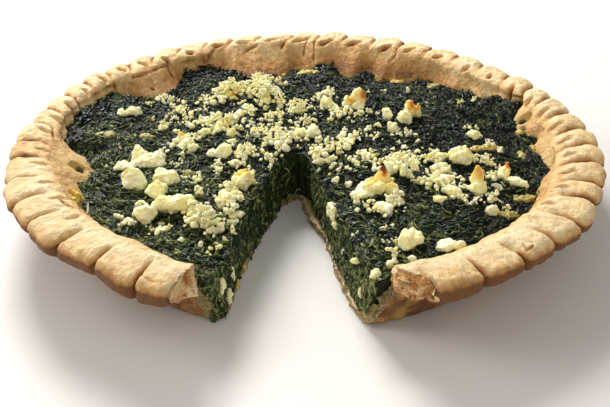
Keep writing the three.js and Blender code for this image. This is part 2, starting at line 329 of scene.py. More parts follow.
# How far each print is turned out of the radius, in degrees. Half a turn is the same as none.
PRINT_TURN = [[-10, 0], [17, -6], [60, -42], [92, -64], [112, -98], [130, -125], [165, -165], [194, -180],
              [195, 0]]
PRINT_STRENGTH = [[-62, 0], [-47, 0.25], [-36, 0.8], [-20, 1], [112, 1], [128, 1.3], [162, 1.3], [176, 1],
                  [198, 1], [208, 0.7], [222, 0.6], [228, 0]]
# Where the rope is thick its creases stay on the outer half, as on one long roll.
STAYS_OUTSIDE = [[-60, 1], [-35, 0.5], [-15, 0], [195, 0], [212, 1]]

crimps = np.array([*CRIMPS, CRIMPS[0] + 360])
crease_azimuth = azimuth - round_the_rim(CREASE_LEAN, azimuth) * (1 - across)
crease_azimuth = (crease_azimuth - crimps[0]) % 360 + crimps[0]
lobe = np.clip(np.searchsorted(crimps, crease_azimuth, side="right") - 1, 0, len(CRIMPS) - 1)
lobe_width = crimps[lobe + 1] - crimps[lobe]
lobe_share = (crease_azimuth - crimps[lobe]) / lobe_width
random = np.random.default_rng(11).uniform(-1, 1, (len(CRIMPS), 5))

outer_half = round_the_rim(STAYS_OUTSIDE, azimuth)
reach_in = across * (1 - outer_half) + ease(radius, 106, 120.5) * outer_half
from_middle = np.abs(2 * lobe_share - 1)
pillow = from_middle ** round_the_rim(PILLOW_POWER, azimuth)
pillow *= (1 - reach_in) * round_the_rim(PILLOW_TOP, azimuth) + reach_in * round_the_rim(PILLOW_EDGE, azimuth)
from_crease = 0.5 * (1 - from_middle) * lobe_width * np.radians(radius)
from_crease = np.abs(from_crease + 0.4 * lumps(skin, 3.5, 12))
nearest = np.where(lobe_share < 0.5, lobe, (lobe + 1) % len(CRIMPS))
crease = np.exp(-(from_crease / round_the_rim(CREASE_WIDTH, azimuth)) ** 1.5)
crease *= (0.25 + 0.75 * reach_in) * ease(reach_in, 0, 0.4 + 0.25 * random[nearest, 0])
relief = -on_rope * (pillow + round_the_rim(CREASE_DEPTH, azimuth) * (1 + 0.3 * random[nearest, 4]) * crease)
relief += on_rope * 0.5 * random[lobe, 1] * (1 - from_middle ** 4)

print_aside = (lobe_share - PRINT_MIDDLE - 0.07 * random[lobe, 2]) * lobe_width * np.radians(radius)
print_along = radius - round_the_rim(PRINT_RADIUS, azimuth) - 1.2 * random[lobe, 3]
print_turn = np.radians(round_the_rim(PRINT_TURN, azimuth))
print_along, print_aside = (print_along * np.cos(print_turn) + print_aside * np.sin(print_turn),
                            print_aside * np.cos(print_turn) - print_along * np.sin(print_turn))
print_length = PRINT_HALF_LENGTH * (1 + 0.25 * random[lobe, 4])
thumb = 1 - ease(np.hypot(print_along / print_length, print_aside / PRINT_HALF_WIDTH), 0.15, 1.05)
thumb *= round_the_rim(PRINT_STRENGTH, azimuth) * ease(height, 22, 25) * (1 - under)
relief -= PRINT_DEPTH * (1 + 0.3 * random[lobe, 0]) * thumb

# Cracks that opened as the crust dried: [x, y] points of each, and its depth in millimetres.
CRACKS = [([[-104.2, 33.1], [-101.3, 28.7], [-100.7, 25.2], [-100.9, 21.2]], 1.4),
          ([[-106.6, 0.7], [-105.1, -3.3], [-104.3, -8.5]], 1.4),
          ([[-68.7, 79], [-68, 75.2], [-65, 72.8]], 0.8),
          ([[-82.9, 61], [-77.5, 66.6], [-73, 72.1], [-67.2, 78.1]], 0.8),
          ([[-51.9, 87.8], [-48.9, 90.3], [-42.1, 99.1]], 0.8),
          ([[-30.4, 97.7], [-24.7, 101.6]], 0.8),
          ([[-12.2, 101.9], [-5.5, 109.1]], 0.8),
          ([[-0.6, 100.5], [2, 107]], 0.7),
          ([[4.9, 97.7], [5.3, 105.4]], 0.7),
          ([[43.5, 89.5], [47.1, 91], [47.9, 94.1]], 0.6),
          ([[-52.5, -105.6], [-50.5, -107.3], [-48.1, -109.3], [-44.6, -110.6]], 0.7),
          ([[73, -90.5], [73.6, -92.4], [75.9, -90.5]], 1),
          ([[-88.5, 73.2], [-88, 73.4]], 1.4),
          ([[-74.6, 60.9], [-73.9, 61.4]], 1.6),
          ([[-87.1, -62.2], [-82, -66.1]], 2.2)]
# Blisters in the pastry beside the filling that broke open: [x, y, reach, depth].
BLISTERS = [[-92.2, -20.6, 3.6, 3.2], [95.8, 14.8, 2.2, 2.4], [98.8, 7.2, 2.2, 2.4], [98.1, 20.8, 3.3, 3]]
cracked = np.zeros(radius.shape)
for corners, depth in CRACKS:
    for start, end in zip(np.array(corners[:-1]), np.array(corners[1:])):
        run = end - start
        share = np.clip((skin[..., :2] - start) @ run / (run @ run), 0, 1)
        from_crack = np.linalg.norm(skin[..., :2] - start - share[..., None] * run, axis=-1)
        from_crack += 0.3 * lumps(skin, 1.7, 13)
        cracked = np.maximum(cracked, depth * (1 - ease(from_crack, 0.1, 0.75)) * ease(height, 18, 22))
relief -= cracked * (1 - under)
for x, y, reach, depth in BLISTERS:
    far = aside_from(skin, x, y) + 0.5 * lumps(skin, 1.8, 16)
    relief -= depth * (1 - ease(far / reach, 0.45, 1)) * (1 - under)

# The dough's own unevenness: broad lumps, finer ones, wrinkles that run across the rope, and the
# side that flakes beside the right end of the cut, at [x, y, reach].
FLAKY_SIDE = [30, -98, 13]
around_mm = np.radians(azimuth) * ROPE_MIDDLE + 0 * radius
over_mm = np.concatenate([np.zeros((1, STEPS_ROUND)),
                          np.cumsum(np.linalg.norm(np.diff(rows, axis=0), axis=-1), axis=0)])
wrinkled = np.stack([around_mm + 0.35 * over_mm, over_mm / 4, 0 * over_mm], -1)
around = np.roll(skin, -1, axis=1) - np.roll(skin, 1, axis=1)
normal = np.cross(around, np.gradient(skin, axis=0))
normal /= np.linalg.norm(normal, axis=-1, keepdims=True)
flaky = patch(skin, *FLAKY_SIDE) * (1 - ease(height, 17, 21))
rough = 0.5 * lumps(skin, 12) + 0.5 * lumps(skin, 5.2, 1) + 0.3 * lumps(skin, 2.3, 2)
rough += on_rope * (0.2 * lumps(wrinkled, 3.4, 14) + 0.2 * lumps(skin, 3.1, 15) + 0.14 * lumps(skin, 1.5, 17))
rough += flaky * (1.3 * np.abs(lumps(skin * (1, 1, 2.2), 5, 18)) - 0.5 + 0.5 * lumps(skin, 2, 19))
skin = skin + normal * (relief + rough * ease(height, 0.2, 3))[..., None]
skin[..., 2] = np.maximum(skin[..., 2], 0)

case_points = np.concatenate([skin.reshape(-1, 3), [[0, 0, 0], [0, 0, FLOOR_THICKNESS]]])
case_count = len(rows) * STEPS_ROUND
case_faces = np.concatenate([ring_faces(len(rows), STEPS_ROUND),
                             closing_fan(len(rows), STEPS_ROUND, case_count, case_count + 1)])


def feed(tree, socket, value):
    """Links a socket to another node's output, or sets it to a value."""
    if isinstance(value, bpy.types.NodeSocket):
        tree.links.new(value, socket)
    else:
        socket.default_value = value


def shader_node(tree, kind, settings=(), **inputs):
    """Adds a node to a finish. Inputs are values or other nodes' outputs."""
    made = tree.nodes.new(kind)
    for name, value in dict(settings).items():
        setattr(made, name, value)
    for name, value in inputs.items():
        feed(tree, made.inputs[name.replace("_", " ")], value)
    return made


def new_finish(name):
    """A bare finish, its shader, and where the surface's own coordinates come from."""
    finish = bpy.data.materials.new(name)
    finish.use_nodes = True
    tree = finish.node_tree
    return finish, tree, tree.nodes["Principled BSDF"], tree.nodes.new("ShaderNodeTexCoord").outputs["Object"]


def grain(tree, coords, size_mm, detail, stretch=(1, 1, 1), roughness=0.55):
    """Noise with grains of about that size."""
    sized = shader_node(tree, "ShaderNodeMapping", Vector=coords, Scale=[s / (size_mm * MM) for s in stretch])
    return shader_node(tree, "ShaderNodeTexNoise", Vector=sized.outputs[0], Scale=1.0, Detail=detail,
                       Roughness=roughness).outputs["Fac"]


def kept_number(tree, name):
    """The number that note() kept for each point."""
    return shader_node(tree, "ShaderNodeAttribute", {"attribute_name": name}).outputs["Fac"]


def between(tree, value, low, high, to_low=0.0, to_high=1.0):
    """Moves a number from one range to another and stops at the ends."""
    return shader_node(tree, "ShaderNodeMapRange", Value=value, From_Min=low, From_Max=high, To_Min=to_low,
                       To_Max=to_high).outputs[0]


def sums(tree, operation, first, second):
    """Adds or multiplies two numbers."""
    made = shader_node(tree, "ShaderNodeMath", {"operation": operation})
    feed(tree, made.inputs[0], first)
    feed(tree, made.inputs[1], second)
    return made.outputs[0]


def mix_colours(tree, share, first, second):
    """Goes from the first colour to the second as the share goes from 0 to 1."""
    made = shader_node(tree, "ShaderNodeMix", {"data_type": "RGBA"})
    feed(tree, made.inputs[0], share)
    for socket, colour in ((made.inputs[6], first), (made.inputs[7], second)):
        feed(tree, socket, (*colour, 1) if isinstance(colour, tuple) else colour)
    return made.outputs[2]


def shades(tree, amount, colour, *steps):
    """A colour that turns into each step's colour as the amount goes from the step's low to its high."""
    for low, high, next_colour in steps:
        colour = mix_colours(tree, between(tree, amount, low, high), colour, next_colour)
    return colour


def coat(tree, shader, colour, **settings):
    """Gives a finish its colour, and sets its shader's own values, such as its roughness."""
    tree.links.new(colour, shader.inputs["Base Color"])
    for name, value in settings.items():
        shader.inputs[name.replace("_", " ")].default_value = value


def raise_bumps(tree, shader, height, distance_mm, strength):
    """Bumps that stand up to that many millimetres."""
    bump = shader_node(tree, "ShaderNodeBump", Height=height, Strength=strength, Distance=distance_mm * MM)
    tree.links.new(bump.outputs[0], shader.inputs["Normal"])


# The skin goes from pale to gold, tan and brown by a kept number that holds real browning
# together with painted shade. Egg stains it, darkest where it is soaked.
PALE = (0.86, 0.7, 0.43)
GOLD = (0.77, 0.54, 0.25)
TAN = (0.56, 0.28, 0.085)
BROWN = (0.2, 0.078, 0.02)
STAIN = (0.62, 0.44, 0.12)
DARK_STAIN = (0.16, 0.14, 0.045)
baked, tree, shader, coords = new_finish("baked_pastry")
# The kept number holds real browning and painted shade together; toast adds mottling to it.
browning_and_shade = kept_number(tree, "browning_and_shade")
patches = grain(tree, coords, 15, 3)
flecks = grain(tree, coords, 2.4, 5)
toast = sums(tree, "ADD", browning_and_shade, between(tree, patches, 0.3, 0.7, -0.08, 0.1))
toast = sums(tree, "ADD", toast, between(tree, flecks, 0.35, 0.72, -0.1, 0.2))
colour = shades(tree, toast, PALE, (0, 0.36, GOLD), (0.32, 0.66, TAN), (0.66, 1, BROWN))
specks = between(tree, grain(tree, coords, 1.1, 2), 0.7, 0.78, 0.0, 0.55)
colour = mix_colours(tree, specks, colour, TAN)
stain = sums(tree, "ADD", kept_number(tree, "stain"), between(tree, flecks, 0.35, 0.7, -0.3, 0.3))
colour = mix_colours(tree, between(tree, stain, 0.3, 1, 0, 0.75), colour, STAIN)
colour = shades(tree, stain, colour, (1.3, 1.9, DARK_STAIN))
coat(tree, shader, colour, Roughness=0.6, Specular_IOR_Level=0.35)
unrolled = shader_node(tree, "ShaderNodeCombineXYZ", X=kept_number(tree, "around"),
                       Y=kept_number(tree, "over"))
wrinkles = grain(tree, unrolled.outputs[0], 1.7, 4, (1, 0.3, 1), 0.6)
skin_grain = grain(tree, coords, 2.6, 7, (1, 1, 1.4), 0.62)
raise_bumps(tree, shader, sums(tree, "ADD", skin_grain, sums(tree, "MULTIPLY", wrinkles, 0.7)), 1.6, 1.0)

# Broken pastry is pale and flaky, browner at its core, and soaked by the filling in its lower
# part. Its small pits are painted dark as painted shade in tiny holes.
BROKEN_PALE = (0.88, 0.68, 0.38)
BROKEN_TAN = (0.56, 0.25, 0.06)
SOAKED_DARK = (0.24, 0.17, 0.055)
SOAKED_PALE = (0.58, 0.45, 0.2)
SOAKED_BELOW = 18.5
CLEAN_ABOVE = 21
PIT_SHADE = (0.2, 0.085, 0.028)
crumb, tree, shader, coords = new_finish("broken_pastry")
core = kept_number(tree, "core")
flakes = grain(tree, coords, 1.5, 6, (1, 1, 2.2))
toast = sums(tree, "ADD", core, between(tree, flakes, 0.3, 0.7, -0.45, 0.45))
colour = shades(tree, toast, BROKEN_PALE, (0.1, 0.9, BROKEN_TAN))
up = shader_node(tree, "ShaderNodeSeparateXYZ", Vector=coords).outputs["Z"]
soaked = shades(tree, flakes, SOAKED_DARK, (0.35, 0.65, SOAKED_PALE))
colour = shades(tree, up, soaked, (SOAKED_BELOW * MM, CLEAN_ABOVE * MM, colour))
# Painted shade: small pits painted dark.
pit_shade = between(tree, grain(tree, coords, 2.1, 3), 0.59, 0.67, 0.0, 0.85)
colour = mix_colours(tree, pit_shade, colour, PIT_SHADE)
coat(tree, shader, colour, Roughness=0.75)
raise_bumps(tree, shader, flakes, 1.2, 1.0)

# The rope is browner low on its outside, on its underside and on the wall below, partly real
# browning and partly painted shade, and its tops are painted paler at the front as painted light.
# Its creases, prints and cracks, its slope down to the filling (darkest low at the back) and the
# flaky side get painted shade. Two places at the left are painted darker: [x, y, reach] of a
# painted crease shadow, and of the rope's lower outside by its left end.
CREASE_SHADE_PATCH = [-108, -16, 12]
DARKER_LEFT_END = [-43, -113, 8]
case = make_piece("pastry_case", case_points, case_faces, baked, crumb)
at_front = ease(-skin[..., 1], 55, 105)
low_outside = ease(rope_height + 4 + 2.6 * at_front - height, 0, 8.5) * ease(across, 0.6, 1)
low_outside += 0.8 * under * on_rope
at_back = ease(skin[..., 1], 50, 95)
# Real browning plus painted shade low on the outside and under the rope; painted shade in the creases.
browning_and_shade = 0.08 + (1.15 + 0.1 * at_front) * np.clip(low_outside, 0, 1) + 1.2 * crease * on_rope
# Painted shade of a crease on the left of the rope.
browning_and_shade += 0.24 * patch(skin, *CREASE_SHADE_PATCH) * on_rope
# Darker low on the rope's outside by its left end.
at_left_end = patch(skin, *DARKER_LEFT_END) * ease(across, 0.5, 1)
browning_and_shade += 0.5 * at_left_end * ease(rope_height + 5 - height, 0, 6) * on_rope
# Painted shade in the thumb prints, more towards the back.
browning_and_shade += (0.45 + 0.35 * ease(skin[..., 1], 10, 70)) * thumb
# Outer half of the rope a little browner; tops painted paler at the front as painted light, darker at the
# front left.
browning_and_shade += 0.12 * ease(across, 0.5, 1) * on_rope + (0.12 * ease(-skin[..., 0], 45, 85) - 0.07) * at_front
# Painted shade on the slope down to the filling, darkest low at the back; real browning and painted shade on
# the wall below the rope.
browning_and_shade += (0.38 + 0.34 * at_back * ease(27 - height, 0, 7)) * slope + 0.74 * under * (1 - on_rope)
# Painted shade in the cracks.
browning_and_shade += 0.5 * np.clip(cracked, 0, 1)
# Random mottling, and painted shade mixed with mottling on the flaky side.
browning_and_shade += 0.1 * lumps(skin, 18, 4) + flaky * (0.7 * lumps(skin, 4.4, 46) + 0.3)
note(case, "browning_and_shade", np.append(browning_and_shade.ravel(), [0.4, 0.4]))
# Egg and cheese stained the pastry along the filling: [x, y, reach] of the larger stains.
STAINS = [[-91, -21, 7], [-86, -36, 4], [97, 22, 7], [99, 3, 5], [99.5, -18, 3], [-97, 26, 3]]
stain = (0.65 + 0.6 * lumps(skin, 9, 43)) * (1 - ease(height - edge_height, 0.2, 2)) * (1 - under)
stain = np.maximum(stain, flaky * (0.35 + 1.3 * lumps(skin, 5, 45)))
stain += 2 * (1 - ease(height - edge_height, -3, -1)) * (1 - under)
for x, y, reach in STAINS:
    near = aside_from(skin, x, y) / reach + 0.4 * lumps(skin, 3, 44)
    stain = np.maximum(stain, (1 - ease(near, 0.5, 1.1)) * (1 - under))
for x, y, reach, depth in BLISTERS:
    near = aside_from(skin, x, y) / reach + 0.15 * lumps(skin, 1.8, 16)
    dark = 0.9 + 1.9 * (1 - ease(near, 0.55, 0.75))
    stain = np.maximum(stain, dark * (1 - ease(near, 0.8, 1.3)) * (1 - under))
note(case, "stain", np.append(stain.ravel(), [0, 2.5]))
note(case, "around", np.append(around_mm.ravel() * MM, [0, 0]))
note(case, "over", np.append(over_mm.ravel() * MM, [0, 0]))

# The slice is cut out with two strokes of a knife that meet in a blunt tip. The pastry breaks
# back a little further than the filling, so each has a cut of its own, both with rough faces.
CUT_LEFT = [[-3.3, -7.5], [-10.5, -14], [-15.3, -31.5], [-20.8, -51], [-24.2, -66.6], [-26.3, -79],
            [-28, -89]]
CUT_RIGHT = [[2.4, -13], [6.5, -32.7], [10.7, -47], [13.2, -62.2], [16.1, -74.6], [18.8, -84.5], [21.5, -92]]
CASE_END_LEFT = [[-34.2, -92], [-36, -95.5], [-35.6, -101], [-34.8, -103.4], [-37.2, -105.2], [-39.6, -106.4],
                 [-40.4, -110], [-42, -114.5], [-47, -119], [-60, -140]]
CASE_END_RIGHT = [[28.8, -95], [29.6, -102.7], [32, -105.2], [36, -107], [39.5, -107.8], [41.2, -111],
                  [42, -116], [48, -140]]
KNIFE_STEP = 0.65
KNIFE_HEIGHTS = (-3, 40)
KNIFE_MIDDLE = (-2, -75)
WALL_TOP = 20
WALL_LEAN = 0.27
CASE_SHARP_ANGLE = 55


def rough_knife(name, left, right, finish, ripple, leaning=None):
    """The missing slice as a tall block with rough sides. ripple(points) gives how far they wander."""
    loop = np.array(left + right[::-1] + left[:1], float)
    runs = [np.linspace(a, b, max(2, int(np.hypot(*(b - a)) / KNIFE_STEP)), endpoint=False)
            for a, b in zip(loop[:-1], loop[1:])]
    plan = np.concatenate(runs)
    plan = plan[: len(plan) // 2 * 2]
    ahead = np.roll(plan, -3, axis=0) - np.roll(plan, 3, axis=0)
    outward = np.stack([ahead[:, 1], -ahead[:, 0]], -1) / np.linalg.norm(ahead, axis=1, keepdims=True)
    levels = np.arange(*KNIFE_HEIGHTS, KNIFE_STEP)
    rings, steps = len(levels), len(plan)
    points = np.concatenate([np.broadcast_to(plan, (rings, steps, 2)),
                             np.broadcast_to(levels[:, None, None], (rings, steps, 1))], -1).copy()
    points[..., :2] += outward * ripple(points)[..., None]
    if leaning:
        points[..., 0] -= leaning(points)
    ends = [[*KNIFE_MIDDLE, levels[0]], [*KNIFE_MIDDLE, levels[-1]]]
    count = rings * steps
    faces = np.concatenate([ring_faces(rings, steps), closing_fan(rings, steps, count, count + 1)])
    return make_piece(name, np.concatenate([points.reshape(-1, 3), ends]), faces, finish)


def keep_shaped(piece):
    """Makes the shape that the piece's modifiers give it its own."""
    before = piece.data
    shaped = piece.evaluated_get(bpy.context.evaluated_depsgraph_get())
    piece.data = bpy.data.meshes.new_from_object(shaped)
    piece.modifiers.clear()
    bpy.data.meshes.remove(before)


def cut_with(piece, knife):
    """Cuts the knife's block out of the piece; the new faces keep the knife's finish."""
    cut = piece.modifiers.new("cut", "BOOLEAN")
    cut.operation = "DIFFERENCE"
    cut.solver = "MANIFOLD"
    cut.object = knife
    cut.material_mode = "TRANSFER"
    keep_shaped(piece)
    bpy.data.objects.remove(knife)


# The broken part of the rope's end is smaller on the left: its middle radius, half width and half
# height there. On the right it takes in all of the rope.
BROKEN_LEFT = (108.4, 5.4, 4.6)
BROKEN_RIGHT = (ROPE_MIDDLE, ROPE_HALF_WIDTH, 5.5)
BROKEN_MIDDLE_HEIGHT = 27.4


def in_the_rope(points):
    """1 in the middle of the rope where it broke open, and 0 at its skin."""
    left = points[..., 0] < 0
    middle, half_width, half_height = (np.where(left, *sides) for sides in zip(BROKEN_LEFT, BROKEN_RIGHT))
    from_middle = np.hypot((aside_from(points) - middle) / half_width,
                           (points[..., 2] - BROKEN_MIDDLE_HEIGHT) / half_height)
    return 1 - ease(from_middle, 0.5, 1)


def swirl(points):
    """From 0 to 1 and back along the turns of dough that the rope was rolled from."""
    aside = (aside_from(points) - ROPE_MIDDLE + 2) / ROPE_HALF_WIDTH
    above = (points[..., 2] - 26.5) / 5.5
    turns = 1.7 * np.hypot(aside, above) - np.arctan2(above, aside) / (2 * np.pi)
    return 0.5 + 0.5 * np.sin(2 * np.pi * turns + 1.2 * lumps(points, 3, 6))


def broken_pastry(points):
    """The rope's left end is hollow with its last pillow rounded off; its right end bulges."""
    right = ease(points[..., 0], 0, 3)
    rounded = (1 - right) * ease(aside_from(points), 110.5, 113)
    inner = in_the_rope(points)
    hollow = (3 - 4.8 * right) * inner
    hollow += right * inner * (1.1 * lumps(points, 2.4, 4) + 2.2 * swirl(points))
    base = 1 - ease(points[..., 2], 3, 5)
    hollow -= (0.2 + right + 1.8 * right * ease(points[..., 1], -45, -15)) * base
    layered = points * (1, 1, 1.8)
    depth = 0.7 + 0.1 * right + 0.3 * right * inner - 0.45 * rounded
    return hollow + 0.6 * lumps(points, 6, 1) + depth * (lumps(layered, 3, 2) + lumps(layered, 1.7, 3))


def wall_lean(points):
    """The side wall broke off aslant on the right: further out the higher it stands."""
    below = np.clip(WALL_TOP - points[..., 2], 0, WALL_TOP)
    return WALL_LEAN * below * ease(aside_from(points), 96, 100) * (points[..., 0] > 0)


case_knife = rough_knife("case_knife", CUT_LEFT + CASE_END_LEFT, CUT_RIGHT + CASE_END_RIGHT, crumb,
                         broken_pastry, wall_lean)
cut_with(case, case_knife)
case.data.set_sharp_from_angle(angle=np.radians(CASE_SHARP_ANGLE))

# How dark the broken ends are: tan in the rope's core, on the lower part of the last pillow on the
# left and low on the right.
points = points_of(case)
last_pillow = (points[:, 0] < -36) * ease(aside_from(points), 111, 113)
core = 0.25 + 0.6 * last_pillow * ease(points[:, 2], 30, 21)
core += 0.4 * (points[:, 0] > 0) * ease(points[:, 2], 27, 23)
in_rope = in_the_rope(points)
in_rope *= np.where(points[:, 0] > 0, 0.2 + 1.1 * swirl(points), 1)
note(case, "core", np.maximum(in_rope, core))
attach(case, "root")
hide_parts("crust")

# ---------------------------------------------------------------------------------------------
# Filling.
# Chopped spinach bound with egg, baked in the case: a dark moist block with a ragged top that
# climbs a little up the pastry. The knife leaves upright, torn faces.
FILLING_HEIGHT = 23.7
LEVEL_SHARE = 0.72
WAVE = 0.5
WAVE_LENGTH = (107, 88)
WAVE_PHASE = 1
FILLING_BOTTOM = 3.2
# The foot of the filling, as [radius, height], and how far it stays clear of the pastry there.
FILLING_FOOT = [(30, FILLING_BOTTOM), (60, FILLING_BOTTOM), (90.5, 3.3), (95, 6)]
FILLING_CLEAR = 0.2
FILLING_STEPS = 600
FILLING_RINGS = 96
FILLING_SHARP_ANGLE = 70
FILLING_END_LEFT = [[-31, -106], [-36, -140]]
FILLING_END_RIGHT = [[25.5, -106], [34, -140]]


def filling_top(x, y):
    """Height of the filling's top: level in the middle, easing to its own height at the wall."""
    wall_radius, edge_height = wall_line(np.degrees(np.arctan2(y, x)))
    share = np.hypot(x, y) / wall_radius
    towards_wall = ease(share, LEVEL_SHARE, 1)
    wave = np.sin(2 * np.pi * x / WAVE_LENGTH[0] + WAVE_PHASE) * np.cos(2 * np.pi * y / WAVE_LENGTH[1])
    middle = FILLING_HEIGHT + WAVE * wave
    return middle + (edge_height - middle) * towards_wall


def ragged_top(x, y):
    """The top with the small heaps and hollows of the chopped spinach."""
    flat = np.stack([x, y, 0 * x], -1)
    return (filling_top(x, y) - 0.7 + 0.9 * lumps(flat, 7, 5) + 0.7 * lumps(flat, 3.2, 6)
            + 0.45 * lumps(flat, 1.6, 7))


azimuth = np.arange(FILLING_STEPS) * 360 / FILLING_STEPS
wall_radius, edge_height = wall_line(azimuth)
turn = np.radians(azimuth)
rings = []
for radius, height in FILLING_FOOT:
    radius -= FILLING_CLEAR
    rings.append(np.stack([radius * np.cos(turn), radius * np.sin(turn), 0 * turn + height], -1))
for share in np.linspace(1.012, 0.01, FILLING_RINGS):
    x, y = wall_radius * share * np.cos(turn), wall_radius * share * np.sin(turn)
    rings.append(np.stack([x, y, ragged_top(x, y)], -1))
rings = np.array(rings)
count = len(rings) * FILLING_STEPS
middle = [[0, 0, FILLING_BOTTOM], [0, 0, ragged_top(np.zeros(1), np.zeros(1))[0]]]
faces = np.concatenate([ring_faces(len(rings), FILLING_STEPS),
                        closing_fan(len(rings), FILLING_STEPS, count, count + 1)])

spinach, tree, shader, coords = new_finish("baked_spinach")
leafy = grain(tree, coords, 2.2, 6)
colour = shades(tree, leafy, (0.003, 0.005, 0.002), (0.42, 0.7, (0.016, 0.026, 0.008)))
coat(tree, shader, colour, Roughness=0.5, Specular_IOR_Level=0.2)
raise_bumps(tree, shader, leafy, 1.4, 0.9)

torn, tree, shader, coords = new_finish("cut_spinach")
strands = grain(tree, coords, 1.5, 6, (1, 1, 0.35))
colour = shades(tree, strands, (0.006, 0.01, 0.004), (0.4, 0.68, (0.05, 0.075, 0.02)))
coat(tree, shader, colour, Roughness=0.5, Specular_IOR_Level=0.2)
raise_bumps(tree, shader, strands, 1.4, 0.9)

filling = make_piece("spinach_filling", np.concatenate([rings.reshape(-1, 3), middle]), faces, spinach, torn)


def torn_spinach(points):
    """How far the knife tore each place of the cut face in or out, mostly in upright strands."""
    upright = points * (1, 1, 0.45)
    return 0.8 * lumps(points, 9, 8) + 0.6 * lumps(upright, 2.6, 9) + 0.4 * lumps(upright, 1.3, 10)


filling_knife = rough_knife("filling_knife", CUT_LEFT + FILLING_END_LEFT, CUT_RIGHT + FILLING_END_RIGHT, torn,
                            torn_spinach)
cut_with(filling, filling_knife)
filling.data.set_sharp_from_angle(angle=np.radians(FILLING_SHARP_ANGLE))
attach(filling, "root")
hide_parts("filling")

# ---------------------------------------------------------------------------------------------
# Loose spinach on top.
# Scraps of chopped leaf, and thin shreds of stalk and rolled leaf, pressed flat across each
# other. The oven dried them dark and a little glossy.
SCRAPS = 9000
SCRAP_LENGTH = (1.8, 5)
SCRAP_WIDTH = (0.8, 2.4)
SHREDS = 5400
SHRED_LENGTH = (3, 8.5)
SHRED_WIDTH = (0.4, 0.9)
# How far out bits lie, as a share of the way to the wall, and the step that their slope is read over.
SPREAD_REACH = 1.006
SLOPE_STEP = 0.9
# Each leaf is a ridged sliver of 11 points: a tip, three rows of edge, ridge and edge, and a tip.
# None of them goes below LOWEST.
SLIVER_SHARES = (-1, -0.55, 0, 0.55, 1)
SLIVER_POINTS = 11
LOWEST = 0.1
LEAF_COLOURS = [(0.002, 0.004, 0.002), (0.008, 0.016, 0.005), (0.04, 0.07, 0.015), (0.2, 0.23, 0.06)]
BIT_FACES = [[0, 2, 1], [0, 3, 2], [0, 1, 3], [10, 7, 8], [10, 8, 9], [10, 9, 7]]
for start, corner in itertools.product((1, 4), range(3)):
    here, beside = start + corner, start + (corner + 1) % 3
    BIT_FACES += [[here, beside, beside + 3], [here, beside + 3, here + 3]]


def spinach_bits(name, places, along, up, length, width, tone, finish, bow, random):
    """Slivers with a ridged back and two pointed ends. Each has its place, run, face, size and tone."""
    count = len(places)
    along = along - up * np.sum(along * up, -1, keepdims=True)
    along /= np.linalg.norm(along, axis=-1, keepdims=True)
    side = np.cross(up, along)
    points = np.empty((count, SLIVER_POINTS, 3))
    sweep = random.normal(0, bow, count)
    arch = random.normal(0, 0.1, count)
    tilt = random.normal(0, 0.4, count)
    twist = random.normal(0, 0.5, count)
    for number, share in enumerate(SLIVER_SHARES):
        spine = places + along * (share * length / 2)[:, None]
        wander = sweep * length * (0.5 - share ** 2) + random.normal(0, 0.09, count) * length
        spine += side * wander[:, None]
        spine += up * (arch * length * (0.5 - share ** 2))[:, None]
        if abs(share) == 1:
            points[:, 0 if share < 0 else -1] = spine
            continue
        turned = (tilt + twist * share)[:, None]
        across = side * np.cos(turned) + up * np.sin(turned)
        rise = up * np.cos(turned) - side * np.sin(turned)
        half = 0.5 * width * (1 - 0.35 * abs(share)) * random.uniform(0.7, 1.15, count)
        droop = rise * (random.uniform(-0.2, 0.5, (2, count)) * half)[..., None]
        ring = 3 * number - 2
        points[:, ring] = spine + across * half[:, None] - droop[0]
        points[:, ring + 1] = spine + rise * (0.18 + 0.2 * half)[:, None]
        points[:, ring + 2] = spine - across * half[:, None] - droop[1]
    points[..., 2] = np.maximum(points[..., 2], LOWEST)
    faces = np.arange(count)[:, None, None] * SLIVER_POINTS + np.array(BIT_FACES)
    piece = make_piece(name, points.reshape(-1, 3), faces.reshape(-1, 3), finish)
    note(piece, "tone", np.repeat(tone, SLIVER_POINTS))
    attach(piece, "root")
    return piece


def leaf_finish(name, colours, roughness):
    """Leaf from nearly black to pale green by each bit's tone, with fine veins and dry specks."""
    finish, tree, shader, coords = new_finish(name)
    fine = grain(tree, coords, 0.8, 4)
    tone = sums(tree, "ADD", kept_number(tree, "tone"), between(tree, fine, 0.3, 0.7, -0.12, 0.14))
    darkest, dark, green, pale = colours
    colour = shades(tree, tone, darkest, (0, 0.4, dark), (0.4, 0.75, green), (0.75, 1, pale))
    coat(tree, shader, colour, Roughness=roughness, Specular_IOR_Level=0.28, Specular_Tint=(0.8, 0.9, 1, 1))
    raise_bumps(tree, shader, fine, 0.5, 0.7)
    return finish


# The y where the point of the missing slice lies.
CUT_TIP = -7


def between_cuts(x, y, margin):
    """True where a place is in the missing slice or within the margin of it."""
    left = np.array(CUT_LEFT + FILLING_END_LEFT)
    right = np.array(CUT_RIGHT + FILLING_END_RIGHT)
    past_tip = y < CUT_TIP + margin
    return (past_tip & (x > np.interp(-y, -left[:, 1], left[:, 0]) - margin)
            & (x < np.interp(-y, -right[:, 1], right[:, 0]) + margin))


def share_of_wall(x, y):
    """How far out a place is: 0 in the middle and 1 at the pastry."""
    return np.hypot(x, y) / wall_line(np.degrees(np.arctan2(y, x)))[0]


